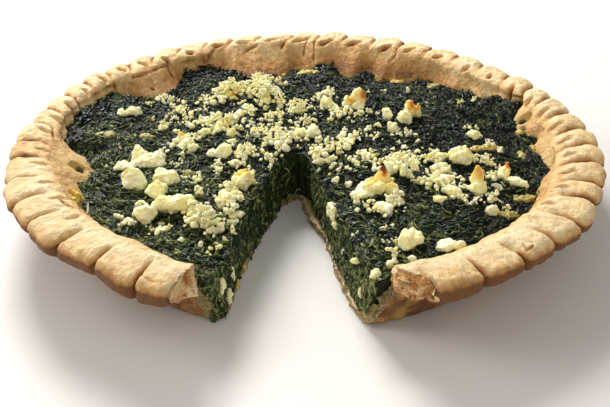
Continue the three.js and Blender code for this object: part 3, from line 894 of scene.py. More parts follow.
def spread_on_top(count, margin, random):
    """Random places on the filling, clear of the missing slice, and which way each faces."""
    x, y = random.uniform(-107, 107, (2, 3 * count))
    share = share_of_wall(x, y)
    kept = np.flatnonzero((share < SPREAD_REACH) & ~between_cuts(x, y, margin))[:count]
    x, y, share = x[kept], y[kept], share[kept]
    climb = 1.3 * np.maximum(share - 1, 0) * np.hypot(x, y)
    up = np.stack([ragged_top(x - SLOPE_STEP, y) - ragged_top(x + SLOPE_STEP, y),
                   ragged_top(x, y - SLOPE_STEP) - ragged_top(x, y + SLOPE_STEP),
                   np.full(len(x), 2 * SLOPE_STEP)], -1)
    up += random.normal(0, 0.25, up.shape)
    return np.stack([x, y, ragged_top(x, y) + climb], -1), up / np.linalg.norm(up, axis=-1, keepdims=True)


def laid(places, spread, random):
    """Which way bits run: neighbours lie roughly together, and follow the wall near it."""
    x, y = places[:, 0], places[:, 1]
    heading = 3 * lumps(places, 16, 20) + random.normal(0, spread, len(places))
    near_wall = ease(share_of_wall(x, y), 0.84, 0.95)
    round_wall = np.arctan2(y, x) + np.pi / 2 + random.normal(0, 0.35, len(places))
    heading = heading * (1 - near_wall) + round_wall * near_wall
    return np.stack([np.cos(heading), np.sin(heading), 0 * heading], -1)


def front_left_sheen(places):
    """Painted sheen: the top is painted lighter and greener at the front on the left and darker at the back
    on the right.
    """
    front = -places[:, 1]
    front_left = -places[:, 0] - places[:, 1]
    return 0.34 * ease(front_left, 0, 105) + 0.06 * ease(front, 15, 60) - 0.08 * ease(-front_left, 20, 90)


leaf = leaf_finish("spinach_leaf", LEAF_COLOURS, 0.3)
random = np.random.default_rng(21)
places, up = spread_on_top(SCRAPS, 0.4, random)
count = len(places)
# The tone takes in the painted sheen towards the front left.
tone = random.uniform(0, 1, count) ** 3 + (0.22 * lumps(places, 13, 21) + front_left_sheen(places))
places[:, 2] += random.normal(0.15, 0.3, count)
spinach_bits("leaf_scraps", places, along=laid(places, 0.6, random), up=up,
             length=random.uniform(*SCRAP_LENGTH, count), width=random.uniform(*SCRAP_WIDTH, count),
             tone=tone, finish=leaf, bow=0.2, random=random)
places, up = spread_on_top(SHREDS, 1, random)
count = len(places)
# The tone takes in the painted sheen towards the front left.
tone = random.uniform(0.05, 1.05, count) ** 2 + (0.25 * lumps(places, 13, 21) + 1.4 * front_left_sheen(places))
places[:, 2] += random.normal(0.35, 0.25, count)
spinach_bits("leaf_shreds", places, along=laid(places, 0.42, random), up=up,
             length=random.uniform(*SHRED_LENGTH, count), width=random.uniform(*SHRED_WIDTH, count),
             tone=tone, finish=leaf, bow=0.3, random=random)

# Darker tufts of whole leaf stand up against the pastry: [x, y, reach] of each.
BITS_IN_A_TUFT = 26
TUFTS = [[12, 93, 5], [34, 90, 4], [78, 56, 7], [-50, 84, 6], [-36, 92, 5], [-26, 94, 4], [-20, 88, 4],
         [-94, 34, 5], [-98, 22, 4], [60, 74, 5], [90, 44, 4], [-72, 66, 4]]
tufts = np.repeat(TUFTS, BITS_IN_A_TUFT, axis=0)
count = len(tufts)
x, y = (tufts[:, :2] + random.normal(0, 0.45, (count, 2)) * tufts[:, 2:]).T
past_wall = np.maximum(share_of_wall(x, y), 1)
x, y = x / past_wall, y / past_wall
places = np.stack([x, y, ragged_top(x, y) + random.uniform(0.2, 1.6, count)], -1)
up = random.normal(0, 0.5, places.shape) + (0, -0.4, 1)
up /= np.linalg.norm(up, axis=1, keepdims=True)
spinach_bits("leaf_tufts", places, along=laid(places, 1.2, random), up=up,
             length=random.uniform(3, 7, count), width=random.uniform(1.4, 3.2, count),
             tone=random.uniform(0, 0.42, count), finish=leaf, bow=0.25, random=random)

# ---------------------------------------------------------------------------------------------
# Spinach in the cut.
# Ends of leaves and stalks that the knife pulled out of the two cut faces. They stand on edge or
# hang, stay moist, and are greener than the baked top.
CUT_BITS = 3200
BESIDE_BITS = 150
SMEARED_BITS = 50
CUT_COLOURS = [(0.007, 0.014, 0.004), (0.024, 0.044, 0.011), (0.09, 0.13, 0.032), (0.3, 0.32, 0.11)]
random = np.random.default_rng(22)
hanging, facing = [], []
for path, towards_gap in ((CUT_LEFT + FILLING_END_LEFT[:1], 1), (CUT_RIGHT + FILLING_END_RIGHT[:1], -1)):
    path = np.array(path)
    y = CUT_TIP - 1 - 91 * random.uniform(0, 1, CUT_BITS // 2) ** 0.8
    x = np.interp(-y, -path[:, 1], path[:, 0])
    run = np.stack([np.interp(-y + 2, -path[:, 1], path[:, 0]) - x, np.full(len(y), -2)], -1)
    gap = towards_gap * np.stack([-run[:, 1], run[:, 0]], -1) / np.linalg.norm(run, axis=1, keepdims=True)
    lowest = np.interp(np.hypot(x, y), [91.5 + 1.5 * towards_gap, 96, 101], [2.4 - 1.6 * towards_gap, 7, 20])
    z = lowest + (ragged_top(x, y) - 0.2 - lowest) * random.uniform(0, 1, len(y))
    place = np.stack([x, y, z], -1)
    place[:, :2] += gap * (0.1 - torn_spinach(place))[:, None]
    hanging.append(place)
    facing.append(np.concatenate([gap, random.normal(0, 0.25, (len(y), 1))], -1))
# Leaf stands out of the filling's side where the pastry broke further back on the left.
share, rise = random.uniform(0, 1, (2, BESIDE_BITS))
x = -30.2 - 5.5 * share
z = 4 + 18.5 * rise
side_radius = np.interp(z, [3, 6, 23], [90.5, 95, 101.6])
hanging.append(np.stack([x, -np.sqrt(side_radius ** 2 - x ** 2), z], -1))
facing.append(np.tile([0.1, -0.95, -0.1], (BESIDE_BITS, 1)))
# The knife also smeared leaf over the pastry's own end on the left.
share, rise = random.uniform(0, 1, (2, SMEARED_BITS))
smeared = np.stack([-28 - 4 * share, -89 - 2.6 * share, 0.8 + (5 + 9 * (1 - share)) * rise], -1)
hanging.append(smeared + 0.3 * random.normal(size=smeared.shape))
facing.append(np.tile([0.52, -0.85, 0.1], (SMEARED_BITS, 1)))
places, up = np.concatenate(hanging), np.concatenate(facing)
up += random.normal(0, 0.2, up.shape)
up /= np.linalg.norm(up, axis=-1, keepdims=True)
count = len(places)
lean = random.normal(0, 0.6, count)
along = np.stack([np.sin(lean) * up[:, 1], -np.sin(lean) * up[:, 0], np.cos(lean)], -1)
# Lighter and greener on the right face, as painted light on the lit face, and lighter near the rim.
tone = random.uniform(0.05, 1.05, count) ** 1.4 + 0.18 * lumps(places, 9, 23) + 0.2 * (places[:, 0] > 3)
tone += 0.2 * ease(-places[:, 1], 84, 93)
cut_leaf = leaf_finish("cut_leaf", CUT_COLOURS, 0.4)
spinach_bits("cut_spinach_ends", places, along=along, up=up, length=random.uniform(2, 6, count),
             width=random.uniform(0.4, 1.8, count), tone=tone, finish=cut_leaf, bow=0.14, random=random)
# A few pale stalks lie apart: one along the pastry, some in the tip of the cut. Each row is
# [x, y, z] of its middle, the [x, y, z] way it runs, its length and its width.
STALKS = [[-78.2, -61.6, 24.6, 0.52, -0.85, 0, 22, 2.4], [1.6, -9.6, 11, 1, 0.2, -0.3, 6.5, 0.9],
          [-2.6, -9.4, 4.6, 1, 0.3, 0.25, 7, 1], [3.4, -12.4, 14.5, 0.9, -0.3, 0.1, 5, 0.8],
          [-16, -33, 13, 0.1, -0.2, 1, 9, 1], [12.4, -52, 12, 0, -0.2, 1, 8, 0.9]]
STALK_COLOUR = (0.34, 0.31, 0.17)
STALK_TONE = 1.2
stalks = np.array(STALKS)
up = np.where(stalks[:, 1:2] < -60, [[0.3, 0.2, 1]], [[0, -1, 0.5]])
up /= np.linalg.norm(up, axis=1, keepdims=True)
pale_stalk = leaf_finish("pale_stalk", CUT_COLOURS[:3] + [STALK_COLOUR], 0.5)
spinach_bits("pale_stalks", stalks[:, :3], along=stalks[:, 3:6], up=up, length=stalks[:, 6],
             width=stalks[:, 7], tone=np.full(len(stalks), STALK_TONE), finish=pale_stalk, bow=0.08,
             random=random)
# Dark spinach shows through the broken blisters in the pastry: [x, y, z, reach].
BITS_IN_A_BLISTER = 40
BEHIND_BLISTERS = [[-92.2, -20.6, 20, 1.9], [95.8, 14.8, 21.8, 1], [98.8, 7.2, 22.4, 1],
                   [98.1, 20.8, 22.6, 1.5]]
behind = np.repeat(BEHIND_BLISTERS, BITS_IN_A_BLISTER, axis=0)
count = len(behind)
places = behind[:, :3] + random.normal(0, 0.45, (count, 3)) * behind[:, 3:] * (1, 1, 0.6)
up = np.tile([[0, 0, 1.0]], (count, 1))
spinach_bits("leaf_behind_blisters", places, along=laid(places, 2, random), up=up,
             length=random.uniform(1.2, 2.6, count), width=random.uniform(0.8, 1.6, count),
             tone=random.uniform(0, 0.4, count), finish=leaf, bow=0.2, random=random)

# ---------------------------------------------------------------------------------------------
# Feta pieces.
# Twenty crumbled lumps of feta as large as berries, pushed into the top before baking. Each
# broke along uneven faces with soft curds showing, and the highest caught the heat and browned.

# A piece is grown together from lumps: [x, y, length, width, height, turn in degrees, how much it
# narrows to its top].
FETA_LUMPS = [
    [[-63.8, -17.4, 14.4, 10, 5.8, 8, 0.2], [-68, -14, 9.4, 7, 8, 50, 0.55],
     [-73.6, -20.4, 10, 5, 3, 10, 0], [-59.6, -15, 6, 5, 6.4, 0, 0.4]],
    [[-66, -37.4, 11.8, 9, 9, 0, 0.5], [-63.4, -38.6, 6.4, 5.4, 7, 0, 0.4]],
    [[-53.6, -34.6, 10.8, 7.8, 4.8, -15, 0.3], [-56.6, -32, 5, 4.4, 5.4, 0, 0.5],
     [-51, -35, 5.6, 5, 5, 0, 0.5]],
    [[-55.2, -44.8, 9.4, 9, 6.4, 15, 0.2]],
    [[-48.6, -55, 15.6, 10.6, 7.2, 8, 0.15], [-57.8, -60, 9, 8, 5.6, -10, 0.2]],
    [[-23.9, -37.6, 9.6, 7.4, 6.8, 0, 0.3], [-20.6, -35.6, 4, 3.6, 5, 0, 0.3]],
    [[-33, -10.8, 7.8, 7, 4.8, -20, 0.3], [-37.6, -11.6, 5, 4, 2.6, 0, 0]],
    [[-50.2, -3.8, 7.6, 6.4, 4.4, 20, 0.3], [-52.6, 0.2, 4.6, 3.6, 5.2, 0, 0.5],
     [-46.8, -6.4, 4, 3.2, 3, 0, 0]],
    [[-78, 28.6, 8.6, 6, 3.4, 5, 0.2], [-83, 27.2, 4.4, 4, 2.4, 0, 0]],
    [[24.6, 37.4, 9, 8.4, 9.6, 15, 0.45], [19.4, 36, 5, 4, 5.6, 0, 0.5], [25.6, 33.8, 6, 5, 5, 0, 0.1]],
    [[44, 19.8, 7, 6.4, 6, 30, 0.1], [47.6, 24.2, 7, 6, 9.2, 20, 0.3], [50.8, 25, 3.6, 3, 8, 0, 0.4]],
    [[63.5, -17.6, 10.8, 9, 6.6, 0, 0.25]],
    [[26.4, -41.4, 13.4, 11, 5.6, 10, 0.3], [30.4, -37.4, 8.4, 8, 9, 30, 0.75],
     [21.4, -45, 8, 5.4, 3.4, 20, 0], [33.4, -43, 6, 5, 5.4, 0, 0.3], [36.4, -45.4, 4.4, 3.4, 2.8, 0, 0.2]],
    [[66.2, -39.6, 9, 8, 10.8, 0, 0.8], [66.6, -42, 8, 6, 5.4, 0, 0.1]],
    [[54.3, -35.8, 10, 6.6, 3.6, 10, 0.2], [51.2, -33.4, 4, 3.4, 4.4, 0, 0.3]],
    [[79.1, -27.2, 7.4, 6.4, 4.2, 0, 0.2], [83.4, -32.4, 9.6, 5.6, 3.2, -25, 0],
     [81.6, -24.8, 4, 3.2, 5.4, 0, 0.3]],
    [[36.8, -78, 9.8, 8, 5.4, 20, 0.15]],
    [[49.6, -79.4, 8, 6.2, 2.8, 5, 0.1], [54.2, -78.6, 5, 3.2, 2.2, 10, 0]],
    [[54.2, -25.2, 9.6, 5, 3.2, 0, 0.3]],
    [[3.8, 5.2, 7.6, 6.6, 5.8, 0, 0.4], [-1.8, 6.4, 6, 4.4, 3.4, 0, 0.2]]]
SUNK = 1.6
FETA_FACETS = 12
FETA_VOXEL = 0.4
FETA_CURDS = 0.45
# Each row is [x, y, z, reach, how dark] of one toasted spot.
TOASTED = [[-23.5, -36.8, 30.5, 5.4, 0.45], [28.4, 36.6, 31, 4.6, 0.85], [21.5, 35, 28, 2.8, 0.5],
           [48.4, 23.4, 32, 4.6, 0.72], [51.5, 24.5, 30.5, 3, 0.6], [38.4, 14.2, 29.4, 3.8, 0.55],
           [30.6, -38.2, 32, 3.4, 1.1], [26.2, -42, 29.6, 4.6, 0.52], [33.5, -42, 29, 4.6, 0.42],
           [66.8, -40.4, 33, 5.2, 0.48], [81.2, -25, 28.6, 5, 0.85], [-52.5, 0.2, 29.5, 3, 0.42],
           [-68.6, -37, 31, 2, 0.55], [67.4, -17, 28, 2.6, 0.55], [-33.2, 46, 27, 2.6, 0.75]]


def unit_ball(steps):
    """Points and faces of a round ball of radius 1."""
    ball = bmesh.new()
    bmesh.ops.create_icosphere(ball, subdivisions=steps, radius=1)
    points = np.array([point.co for point in ball.verts])
    faces = np.array([[corner.index for corner in face.verts] for face in ball.faces])
    ball.free()
    return points, faces


def toasted(points):
    """How browned the cheese is at each point."""
    browned = np.zeros(len(points))
    for x, y, z, reach, dark in TOASTED:
        far = np.linalg.norm((points - (x, y, z)) * (1, 1, 0.7), axis=-1) + 0.9 * lumps(points, 1.6, 31)
        browned = np.maximum(browned, dark * (1 - ease(far / reach, 0.2, 1)))
        browned = np.maximum(browned, 0.24 * dark * (1 - ease(far / reach, 0.6, 2.7)))
    return browned


def broken_sides(ball, facets, nearest, furthest, random):
    """How far out each point of a ball meets each of some flat sides at random."""
    sides = random.normal(size=(facets, 3))
    sides /= np.linalg.norm(sides, axis=1, keepdims=True)
    return random.uniform(nearest, furthest, facets) / np.maximum(ball @ sides.T, 0.05)


def cheese_lumps(name, rows, bottoms, voxel, finish, random, curds):
    """Lumps with broken faces and clinging curds, grown together into one closed skin."""
    ball, ball_faces = unit_ball(4)
    curd, curd_faces = unit_ball(2)
    points, faces, count = [], [], 0
    for (x, y, length, width, height, turn, narrows), bottom in zip(rows, bottoms):
        reach = np.minimum(broken_sides(ball, FETA_FACETS, 0.5, 0.9, random), 3)
        size = -np.log(np.exp(-20 * reach).sum(1) + np.exp(-20)) / 20
        shift = random.uniform(0, 9)
        size += 0.12 * lumps(ball, 0.55, shift) + 0.07 * lumps(ball, 0.26, shift)
        stone = ball * size[:, None]
        stone /= np.abs(stone).max(0)
        stone[:, :2] *= 1.12 - narrows * (0.5 + 0.5 * stone[:, 2:])
        turn = np.radians(turn)
        spin = np.array([[np.cos(turn), np.sin(turn), 0], [-np.sin(turn), np.cos(turn), 0], [0, 0, 1]])
        half = np.array([length, width, height + SUNK]) / 2
        middle = np.array([x, y, bottom - SUNK + half[2]])
        points.append(stone * half @ spin + middle)
        faces.append(ball_faces + count)
        count += len(ball)
        crumbly = ball[:, 2] + 0.9 * random.uniform(-1, 1) * ball[:, 0]
        crumbly = np.exp(crumbly + 0.6 * random.uniform(-1, 1) * ball[:, 1])
        curd_count = int(curds * (length + width) * 1.6)
        for place in random.choice(len(ball), curd_count, p=crumbly / crumbly.sum()):
            radius = random.uniform(0.45, 1.05) * min(1, 0.35 + height / 6)
            lump = curd * radius * (1 + 0.25 * lumps(curd, 0.7, random.uniform(0, 9)))[:, None]
            points.append(lump + (stone[place] * half * 0.94) @ spin + middle)
            faces.append(curd_faces + count)
            count += len(curd)
    piece = make_piece(name, np.concatenate(points), np.concatenate(faces), finish)
    remesh = piece.modifiers.new("grown_together", "REMESH")
    remesh.mode = "VOXEL"
    remesh.voxel_size = voxel * MM
    keep_shaped(piece)
    piece.data.shade_smooth()
    points = points_of(piece)
    outward = np.array([normal.vector for normal in piece.data.vertex_normals])
    rough = 0.35 * lumps(points, 2.6, 32) + 0.45 * np.abs(lumps(points, 1.5, 33))
    rough = rough + 0.3 * lumps(points, 0.9, 34) - 0.1
    points += outward * rough[:, None]
    piece.data.vertices.foreach_set("co", (points * MM).astype(np.float32).ravel())
    piece.data.update()
    note(piece, "toast", toasted(points))
    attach(piece, "root")
    return piece


CREAM = (0.97, 0.95, 0.64)
YELLOW_CREAM = (0.93, 0.8, 0.3)
TOASTED_GOLD = (0.93, 0.66, 0.15)
TOASTED_ORANGE = (0.72, 0.27, 0.03)
TOASTED_BROWN = (0.22, 0.035, 0.01)
feta, tree, shader, coords = new_finish("baked_feta")
fine = grain(tree, coords, 0.9, 5)
broad = grain(tree, coords, 6, 3)
tint = sums(tree, "ADD", kept_number(tree, "tint"), between(tree, broad, 0.35, 0.7, -0.2, 0.55))
colour = mix_colours(tree, tint, CREAM, YELLOW_CREAM)
toast = sums(tree, "ADD", kept_number(tree, "toast"), between(tree, fine, 0.35, 0.7, -0.08, 0.1))
colour = shades(tree, toast, colour, (0.08, 0.34, TOASTED_GOLD), (0.34, 0.7, TOASTED_ORANGE),
                (0.72, 1, TOASTED_BROWN))
coat(tree, shader, colour, Roughness=0.5, Specular_IOR_Level=0.3, Subsurface_Weight=0.6,
     Subsurface_Radius=(1, 0.85, 0.4), Subsurface_Scale=2.4 * MM)
raise_bumps(tree, shader, fine, 0.5, 0.8)

for number, rows in enumerate(FETA_LUMPS, 1):
    node = f"feta_{number:02d}"
    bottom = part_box(node)[0][2] / MM
    random = np.random.default_rng(100 + number)
    piece = cheese_lumps(f"{node}_lump", rows, [bottom] * len(rows), FETA_VOXEL, feta, random, FETA_CURDS)
    note(piece, "tint", np.full(len(piece.data.vertices), random.uniform(0, 0.3)))
    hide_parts(node)

# ---------------------------------------------------------------------------------------------
# Smaller feta lumps.
# Lumps between a pea and a lentil in size that broke off the larger pieces and lie half sunk
# among the leaves. Each row is [x, y, length, width, height, turn].
SMALL_LUMPS = [
    [-14.1, 55.9, 7.7, 5.5, 2.6, 10], [-36.7, 20, 6.3, 4.6, 2.6, 40], [-44.3, 20.1, 6.3, 4.8, 2.6, -20],
    [-31.1, 9, 7.3, 5.9, 3.4, 0], [-30.9, 1.1, 10.3, 4, 1.4, 5], [-29.2, 28.5, 7.3, 4.4, 2.4, 30],
    [-26.9, 35.1, 5.1, 3.8, 2.2, 0], [-38.7, 50.1, 4.8, 3.8, 2.4, 60], [9.9, 51, 5.7, 4.2, 2.2, 20],
    [9.9, 38, 7.9, 6, 3.8, -10], [15.6, 34.9, 4.2, 3.2, 2, 0], [23.7, 29.4, 4.2, 3, 1.8, 30],
    [37.4, 24.6, 5, 4.2, 5.2, 0], [38.7, 13.7, 5.3, 4.2, 4.8, 20], [32.7, 16.6, 5.3, 3.4, 1.5, 0],
    [25.9, -13, 5.4, 4.4, 2.8, 10], [21.4, -20, 2.8, 2.6, 2.2, 0], [35, -18.3, 4.5, 3.5, 2.1, 40],
    [40.2, -23.5, 5.6, 4.2, 2.4, -20], [45, -33.4, 4.3, 3.6, 2.2, 0], [29.5, -54.5, 8.8, 5.8, 4.2, -35],
    [36, -49.6, 4.8, 3.6, 2, 10], [56.9, -13.1, 6, 4.6, 2.6, 15], [75.2, -35.9, 4.3, 3, 1.6, 0],
    [70.3, -52.8, 7.4, 4.6, 3, 25], [73.5, 8.6, 7.8, 5.2, 3.4, -5], [49.9, 54.4, 2.9, 2.6, 2.4, 0],
    [-61.6, -50.8, 5.6, 4.4, 2.6, 0], [-63.8, -62, 5.1, 4.2, 2.4, 30], [-51.8, -66.8, 5.7, 3.2, 1.5, 5],
    [-39.3, -55.8, 6.4, 5, 2.8, 0], [-28.8, -48.6, 6, 4.8, 3.6, 20], [-32.5, -69.6, 5.7, 4.2, 2.2, -30],
    [-26.6, -62.9, 4.7, 3.8, 2.2, 0], [-38.5, -63.5, 5.8, 3.6, 1.9, 15], [-28.2, -74.2, 3.2, 2.8, 1.8, 0],
    [-36.3, -77.3, 2.4, 2, 1.5, 0], [-43.4, -73.5, 2.5, 2, 1.4, 0], [36.5, -86.8, 5.4, 4, 2.2, 10],
    [28.8, -89.8, 3, 2.6, 2, 0], [23.9, -95.4, 4.9, 4, 2.8, 20], [17.4, -85.8, 2.7, 2.2, 1.4, 0],
    [-25.4, -69.6, 2.8, 2.4, 1.6, 0], [47.1, -8.6, 5, 2.6, 1.3, 0], [46.4, 8.5, 3.5, 2.4, 1.4, 0],
    [48.8, 2.6, 3.4, 2.6, 1.6, 30], [37.2, -6.7, 3.4, 2.8, 2, 0], [42.3, -2.1, 3.8, 2.6, 1.5, 0],
    [-2.7, 8.7, 3.5, 3, 2, 0], [12.1, -32.5, 3.1, 3, 2.6, 0], [17.5, -34.9, 4.3, 3, 1.6, 0],
    [-43.2, 9.3, 5.6, 4.5, 4, 0], [-37.2, 13.4, 6.1, 4.9, 3.8, 30], [56.5, -43.9, 6.5, 5.2, 3.2, 10],
    [50.9, -48.4, 6.4, 4.6, 2.2, -20], [30.5, -24, 3.6, 3, 1.8, 0], [-21, -26, 3, 2.6, 1.6, 0]]
SMALL_VOXEL = 0.42
SMALL_CURDS = 0.8
LAID_ON = 0.3
random = np.random.default_rng(41)
small = np.array(SMALL_LUMPS, float)
bottoms = ragged_top(small[:, 0], small[:, 1]) + LAID_ON
small = np.column_stack([small, random.uniform(0, 0.6, len(small))])
lumps_piece = cheese_lumps("small_feta_lumps", small, bottoms, SMALL_VOXEL, feta, random, SMALL_CURDS)
note(lumps_piece, "tint", 0.2 + 0.5 * lumps(points_of(lumps_piece), 11, 42))

# ---------------------------------------------------------------------------------------------
# Feta crumbs.
# What crumbled off under the fingers: grains and curds in loose heaps, a few strays between
# them. Each row is [x, y, reach in x, reach in y, how many, usual size] of one heap.
CRUMB_HEAPS = [
    [-23, 47, 12, 10, 130, 2.2], [-35, 45, 7, 10, 60, 2], [-18, 36, 16, 10, 90, 1.8],
    [-39, 52, 5, 14, 60, 1.6], [-16, 58, 8, 7, 50, 1.9], [-36, 17, 14, 9, 110, 2.1],
    [-50, 0, 7, 7, 40, 1.8], [-50, 30, 12, 14, 120, 1.5], [-10, 24, 16, 15, 170, 1.6],
    [-12, 4, 11, 10, 120, 1.6], [-22, 0, 8, 12, 60, 1.5], [-26, -16, 7, 8, 60, 1.7],
    [-12, -19, 3, 5, 26, 1.8], [-36, -24, 3, 6, 24, 1.6], [-65, 42, 9, 7, 80, 1.6],
    [-60, 20, 10, 10, 50, 1.4], [-2, 35, 7, 16, 40, 1.4], [11, 46, 6, 13, 46, 1.7], [15, 29, 6, 8, 40, 1.6],
    [25, 26, 5, 10, 26, 1.6], [24, 7, 8, 8, 44, 1.5], [9, -4, 11, 9, 110, 1.7], [11, -18, 8, 10, 70, 1.9],
    [24, -15, 8, 7, 50, 1.9], [34, -18, 5, 6, 34, 1.8], [44, -26, 12, 13, 120, 1.9],
    [31, -52, 6, 8, 50, 1.8], [36, -48, 3, 4, 20, 1.7], [22, -54, 5, 6, 16, 1.5], [56, -17, 6, 12, 50, 1.9],
    [54, -38, 8, 11, 80, 1.9], [76, -19, 6, 5, 40, 1.7], [74, -34, 4, 4, 24, 1.6], [77, -5, 7, 4, 34, 1.4],
    [72, -49, 6, 5, 40, 1.7], [62, -48, 4, 6, 26, 1.5], [74, 11, 5, 6, 14, 1.5], [46, 2, 8, 14, 40, 1.6],
    [28, -71, 4, 9, 20, 1.6], [30, -87, 3, 5, 14, 1.5], [-36, -62, 9, 6, 44, 2.1],
    [-31, -69, 7, 5, 34, 2.1], [-26, -60, 4, 6, 18, 2], [-29, -48, 6, 7, 50, 2.1], [-32, -80, 3, 3, 8, 1.9],
    [-52, -65, 5, 4, 24, 1.6], [-64, -60, 4, 4, 12, 1.6], [-52, -18, 3, 8, 16, 1.5],
    [-42, -38, 5, 7, 34, 1.7], [-57, -6, 3, 5, 12, 1.7], [-5, -12, 4, 6, 24, 1.5],
    [69, 47, 19, 19, 14, 1.1], [14, -76, 6, 16, 12, 1.3], [-77, -7, 13, 29, 18, 0.9],
    [2, 10, 84, 62, 240, 1.1], [6, 34, 14, 10, 50, 1.6]]
# The crumbs pile up on a grid of heights: a crumb rests on what lies under it. Those larger than
# LARGE_CRUMB get a finer shape.
CELL = 0.5
GRID_EDGE = 105
LARGE_CRUMB = 1.7
CRUMB_FACETS = 5
random = np.random.default_rng(51)
grid = np.arange(-GRID_EDGE, GRID_EDGE, CELL)
pile = ragged_top(*np.meshgrid(grid, grid, indexing="ij"))
crumbs = []
for x, y, reach_x, reach_y, count, size in CRUMB_HEAPS:
    far = random.uniform(0, 1, count) ** 0.62
    way = random.uniform(0, 2 * np.pi, count)
    clump = random.integers(0, max(1, count // 3), count)
    aside = random.normal(0, 0.75 * size, (2, count))
    sizes = size * np.exp(random.normal(-0.04, 0.4, count))
    crumbs.append(np.stack([x + reach_x * (far * np.cos(way))[clump] + aside[0],
                            y + reach_y * (far * np.sin(way))[clump] + aside[1], sizes], -1))
crumbs = np.concatenate(crumbs)
wall_there = wall_line(np.degrees(np.arctan2(crumbs[:, 1], crumbs[:, 0])))[0]
inside = aside_from(crumbs) < wall_there - 2
inside &= ~between_cuts(crumbs[:, 0], crumbs[:, 1], 0.6)
for x, y, length, width, height, turn in [row[:6] for row in sum(FETA_LUMPS, []) + SMALL_LUMPS]:
    turn = np.radians(turn)
    aside = crumbs[:, :2] - (x, y)
    along = aside @ (np.cos(turn), np.sin(turn)) / (length / 2)
    over = aside @ (-np.sin(turn), np.cos(turn)) / (width / 2)
    inside &= np.hypot(along, over) > 0.85
crumbs = crumbs[inside]
crumbs = crumbs[np.argsort(-crumbs[:, 2])]
small_ball, small_faces = unit_ball(1)
large_ball, large_faces = unit_ball(2)
points, faces, tints, count = [], [], [], 0
for x, y, size in crumbs:
    radius = size / 2
    place = np.array([x, y])
    first = ((place - radius + GRID_EDGE) / CELL).astype(int)
    last = ((place + radius + GRID_EDGE) / CELL).astype(int) + 1
    columns, rows = slice(first[0], last[0]), slice(first[1], last[1])
    under_it = pile[columns, rows]
    level = 0.6 * under_it.mean() + 0.4 * under_it.max() + 0.35 * radius
    from_middle = np.hypot(*np.meshgrid(grid[columns] - x, grid[rows] - y, indexing="ij"))
    under_it[...] = np.maximum(under_it, level + 0.8 * np.sqrt(np.maximum(radius ** 2 - from_middle ** 2, 0)))
    ball, ball_faces = (large_ball, large_faces) if size > LARGE_CRUMB else (small_ball, small_faces)
    spin = np.linalg.qr(random.normal(size=(3, 3)))[0]
    reach = broken_sides(ball, CRUMB_FACETS, 0.45, 0.8, random).min(axis=1)
    shape = ball * (np.minimum(reach, 1) * (1 + 0.2 * lumps(ball, 0.8, random.uniform(0, 9))))[:, None]
    shape = (shape * random.uniform(0.7, 1.15, 3)) @ (spin * np.sign(np.linalg.det(spin)))
    points.append(shape * radius * (1, 1, 0.9) + (x, y, level))
    faces.append(ball_faces + count)
    tints.append(np.full(len(ball), random.uniform(0.05, 0.75) ** 1.6))
    count += len(ball)
points = np.concatenate(points)
crumb_piece = make_piece("feta_crumbs", points, np.concatenate(faces), feta)
note(crumb_piece, "tint", np.concatenate(tints))
note(crumb_piece, "toast", 0.8 * toasted(points))
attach(crumb_piece, "root")

# ---------------------------------------------------------------------------------------------
# Egg patches.
# Egg and melted cheese that rose between the leaves or against the pastry and set in thin,
# uneven olive-yellow films. Each row is [x, y, length, width, height, turn, how yellow].
EGG_PATCHES = [
    [-85.9, 7.2, 10, 7, 1.2, 0, 0], [-69.1, 7.1, 8.7, 5, 1.1, 0, 0.1], [73.8, 44.5, 4.7, 6, 1.2, 0, 0.1],
    [-46.7, -27.1, 6, 5, 1.2, 0, 0.1], [-60.5, -73.2, 3.6, 3.6, 1.2, 0, 0.4],
    [76.9, -54.3, 8.2, 5, 1.4, 0, 0.2], [85, -42.6, 10.8, 6, 1.5, 10, 0.2],
    [91.4, -8.4, 4.6, 6, 1.2, 0, 0.2], [65, 71, 10, 9, 1.5, -40, 0.3], [47.4, 79, 7.6, 6, 1.6, -15, 0.7],
    [77, -4.5, 13.4, 4, 1.3, 10, 0.4], [1.9, 84.6, 12.4, 7, 2.6, 0, 0.5], [-10.8, 91, 2.6, 5, 2, 0, 0.6],
    [90.6, -44.1, 2.6, 4, 2.4, 0, 1], [-88.6, -48.4, 6, 6.6, 4, 10, 1], [-88, -44.6, 5, 4.4, 4, 0, 1],
    [96, 14, 5, 5, 1.4, 60, 0.6], [97.6, -2.4, 3.4, 6, 1.4, 0, 0.6], [-24.4, -72.5, 2.4, 3, 2, 0, 0.9],
    [-22.4, -63, 2.2, 3, 1.8, 0, 0.8]]
EGG_VOXEL = 0.45
EGG_CURDS = 1.6
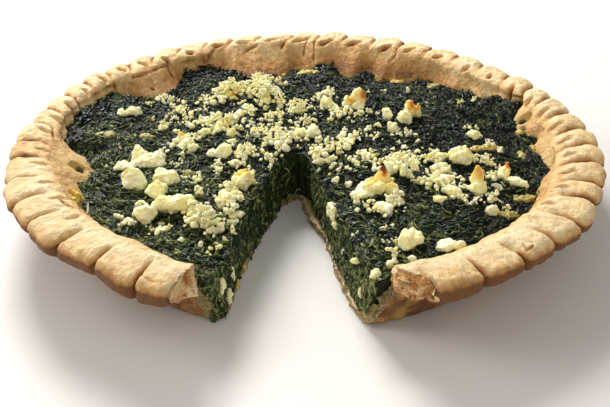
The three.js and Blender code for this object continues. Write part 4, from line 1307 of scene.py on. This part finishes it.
# The last two rows stand low in the cut, and those on the left by the rope lie up its slope.
IN_THE_CUT = slice(-2, None)
CUT_PATCH_BOTTOM = 2.6
SLOPE_LIFT = 1.4
egg, tree, shader, coords = new_finish("baked_egg")
fine = grain(tree, coords, 1.2, 5)
olive = shades(tree, fine, (0.16, 0.16, 0.035), (0.35, 0.65, (0.5, 0.46, 0.15)))
yolk = shades(tree, fine, (0.62, 0.36, 0.035), (0.35, 0.65, (0.88, 0.68, 0.14)))
coat(tree, shader, mix_colours(tree, kept_number(tree, "yolk"), olive, yolk), Roughness=0.5)
raise_bumps(tree, shader, fine, 0.7, 0.9)
patches = np.array(EGG_PATCHES)
bottoms = ragged_top(patches[:, 0], patches[:, 1]) + LAID_ON
bottoms[IN_THE_CUT] = CUT_PATCH_BOTTOM
bottoms[(patches[:, 0] < -87) & (patches[:, 1] < -40)] += SLOPE_LIFT
rows = np.column_stack([patches[:, :6], np.zeros(len(patches))])
egg_piece = cheese_lumps("egg_patches", rows, bottoms, EGG_VOXEL, egg, np.random.default_rng(61), EGG_CURDS)
places = points_of(egg_piece)
nearest = np.argmin(np.hypot(*(places[:, None, :2] - patches[:, :2]).transpose(2, 0, 1)), axis=1)
note(egg_piece, "yolk", patches[nearest, 6] + 0.2 * lumps(places, 3, 62))

# ---------------------------------------------------------------------------------------------
# Feta in the cut.
# Lumps of feta that the knife went past and left standing in the cut faces, soft and not toasted.
# Each row is [x, y, length, width, height, turn, how much it narrows, bottom].
CUT_LUMPS = [[10.9, -51, 8.6, 3, 5, 99, 0, 18.4], [11.9, -55, 4, 2.6, 3.6, 99, 0, 16.6],
             [-25.4, -78.5, 3, 2.2, 5.4, 80, 0, 9.6], [-27.9, -92.3, 3.6, 3, 6, 80, 0.2, 13.4],
             [-26.6, -86, 3.6, 2.6, 6.6, 80, 0.2, 4.4], [19.6, -88, 3, 2.4, 4, 100, 0.2, 9],
             [14.6, -70, 2.4, 2, 3, 100, 0, 14]]
CUT_CURDS = 0.5
CUT_TINT = 0.35
cut_rows = np.array(CUT_LUMPS)
cut_piece = cheese_lumps("cut_feta_lumps", cut_rows[:, :7], cut_rows[:, 7], SMALL_VOXEL, feta,
                         np.random.default_rng(71), CUT_CURDS)
note(cut_piece, "tint", np.full(len(cut_piece.data.vertices), CUT_TINT))
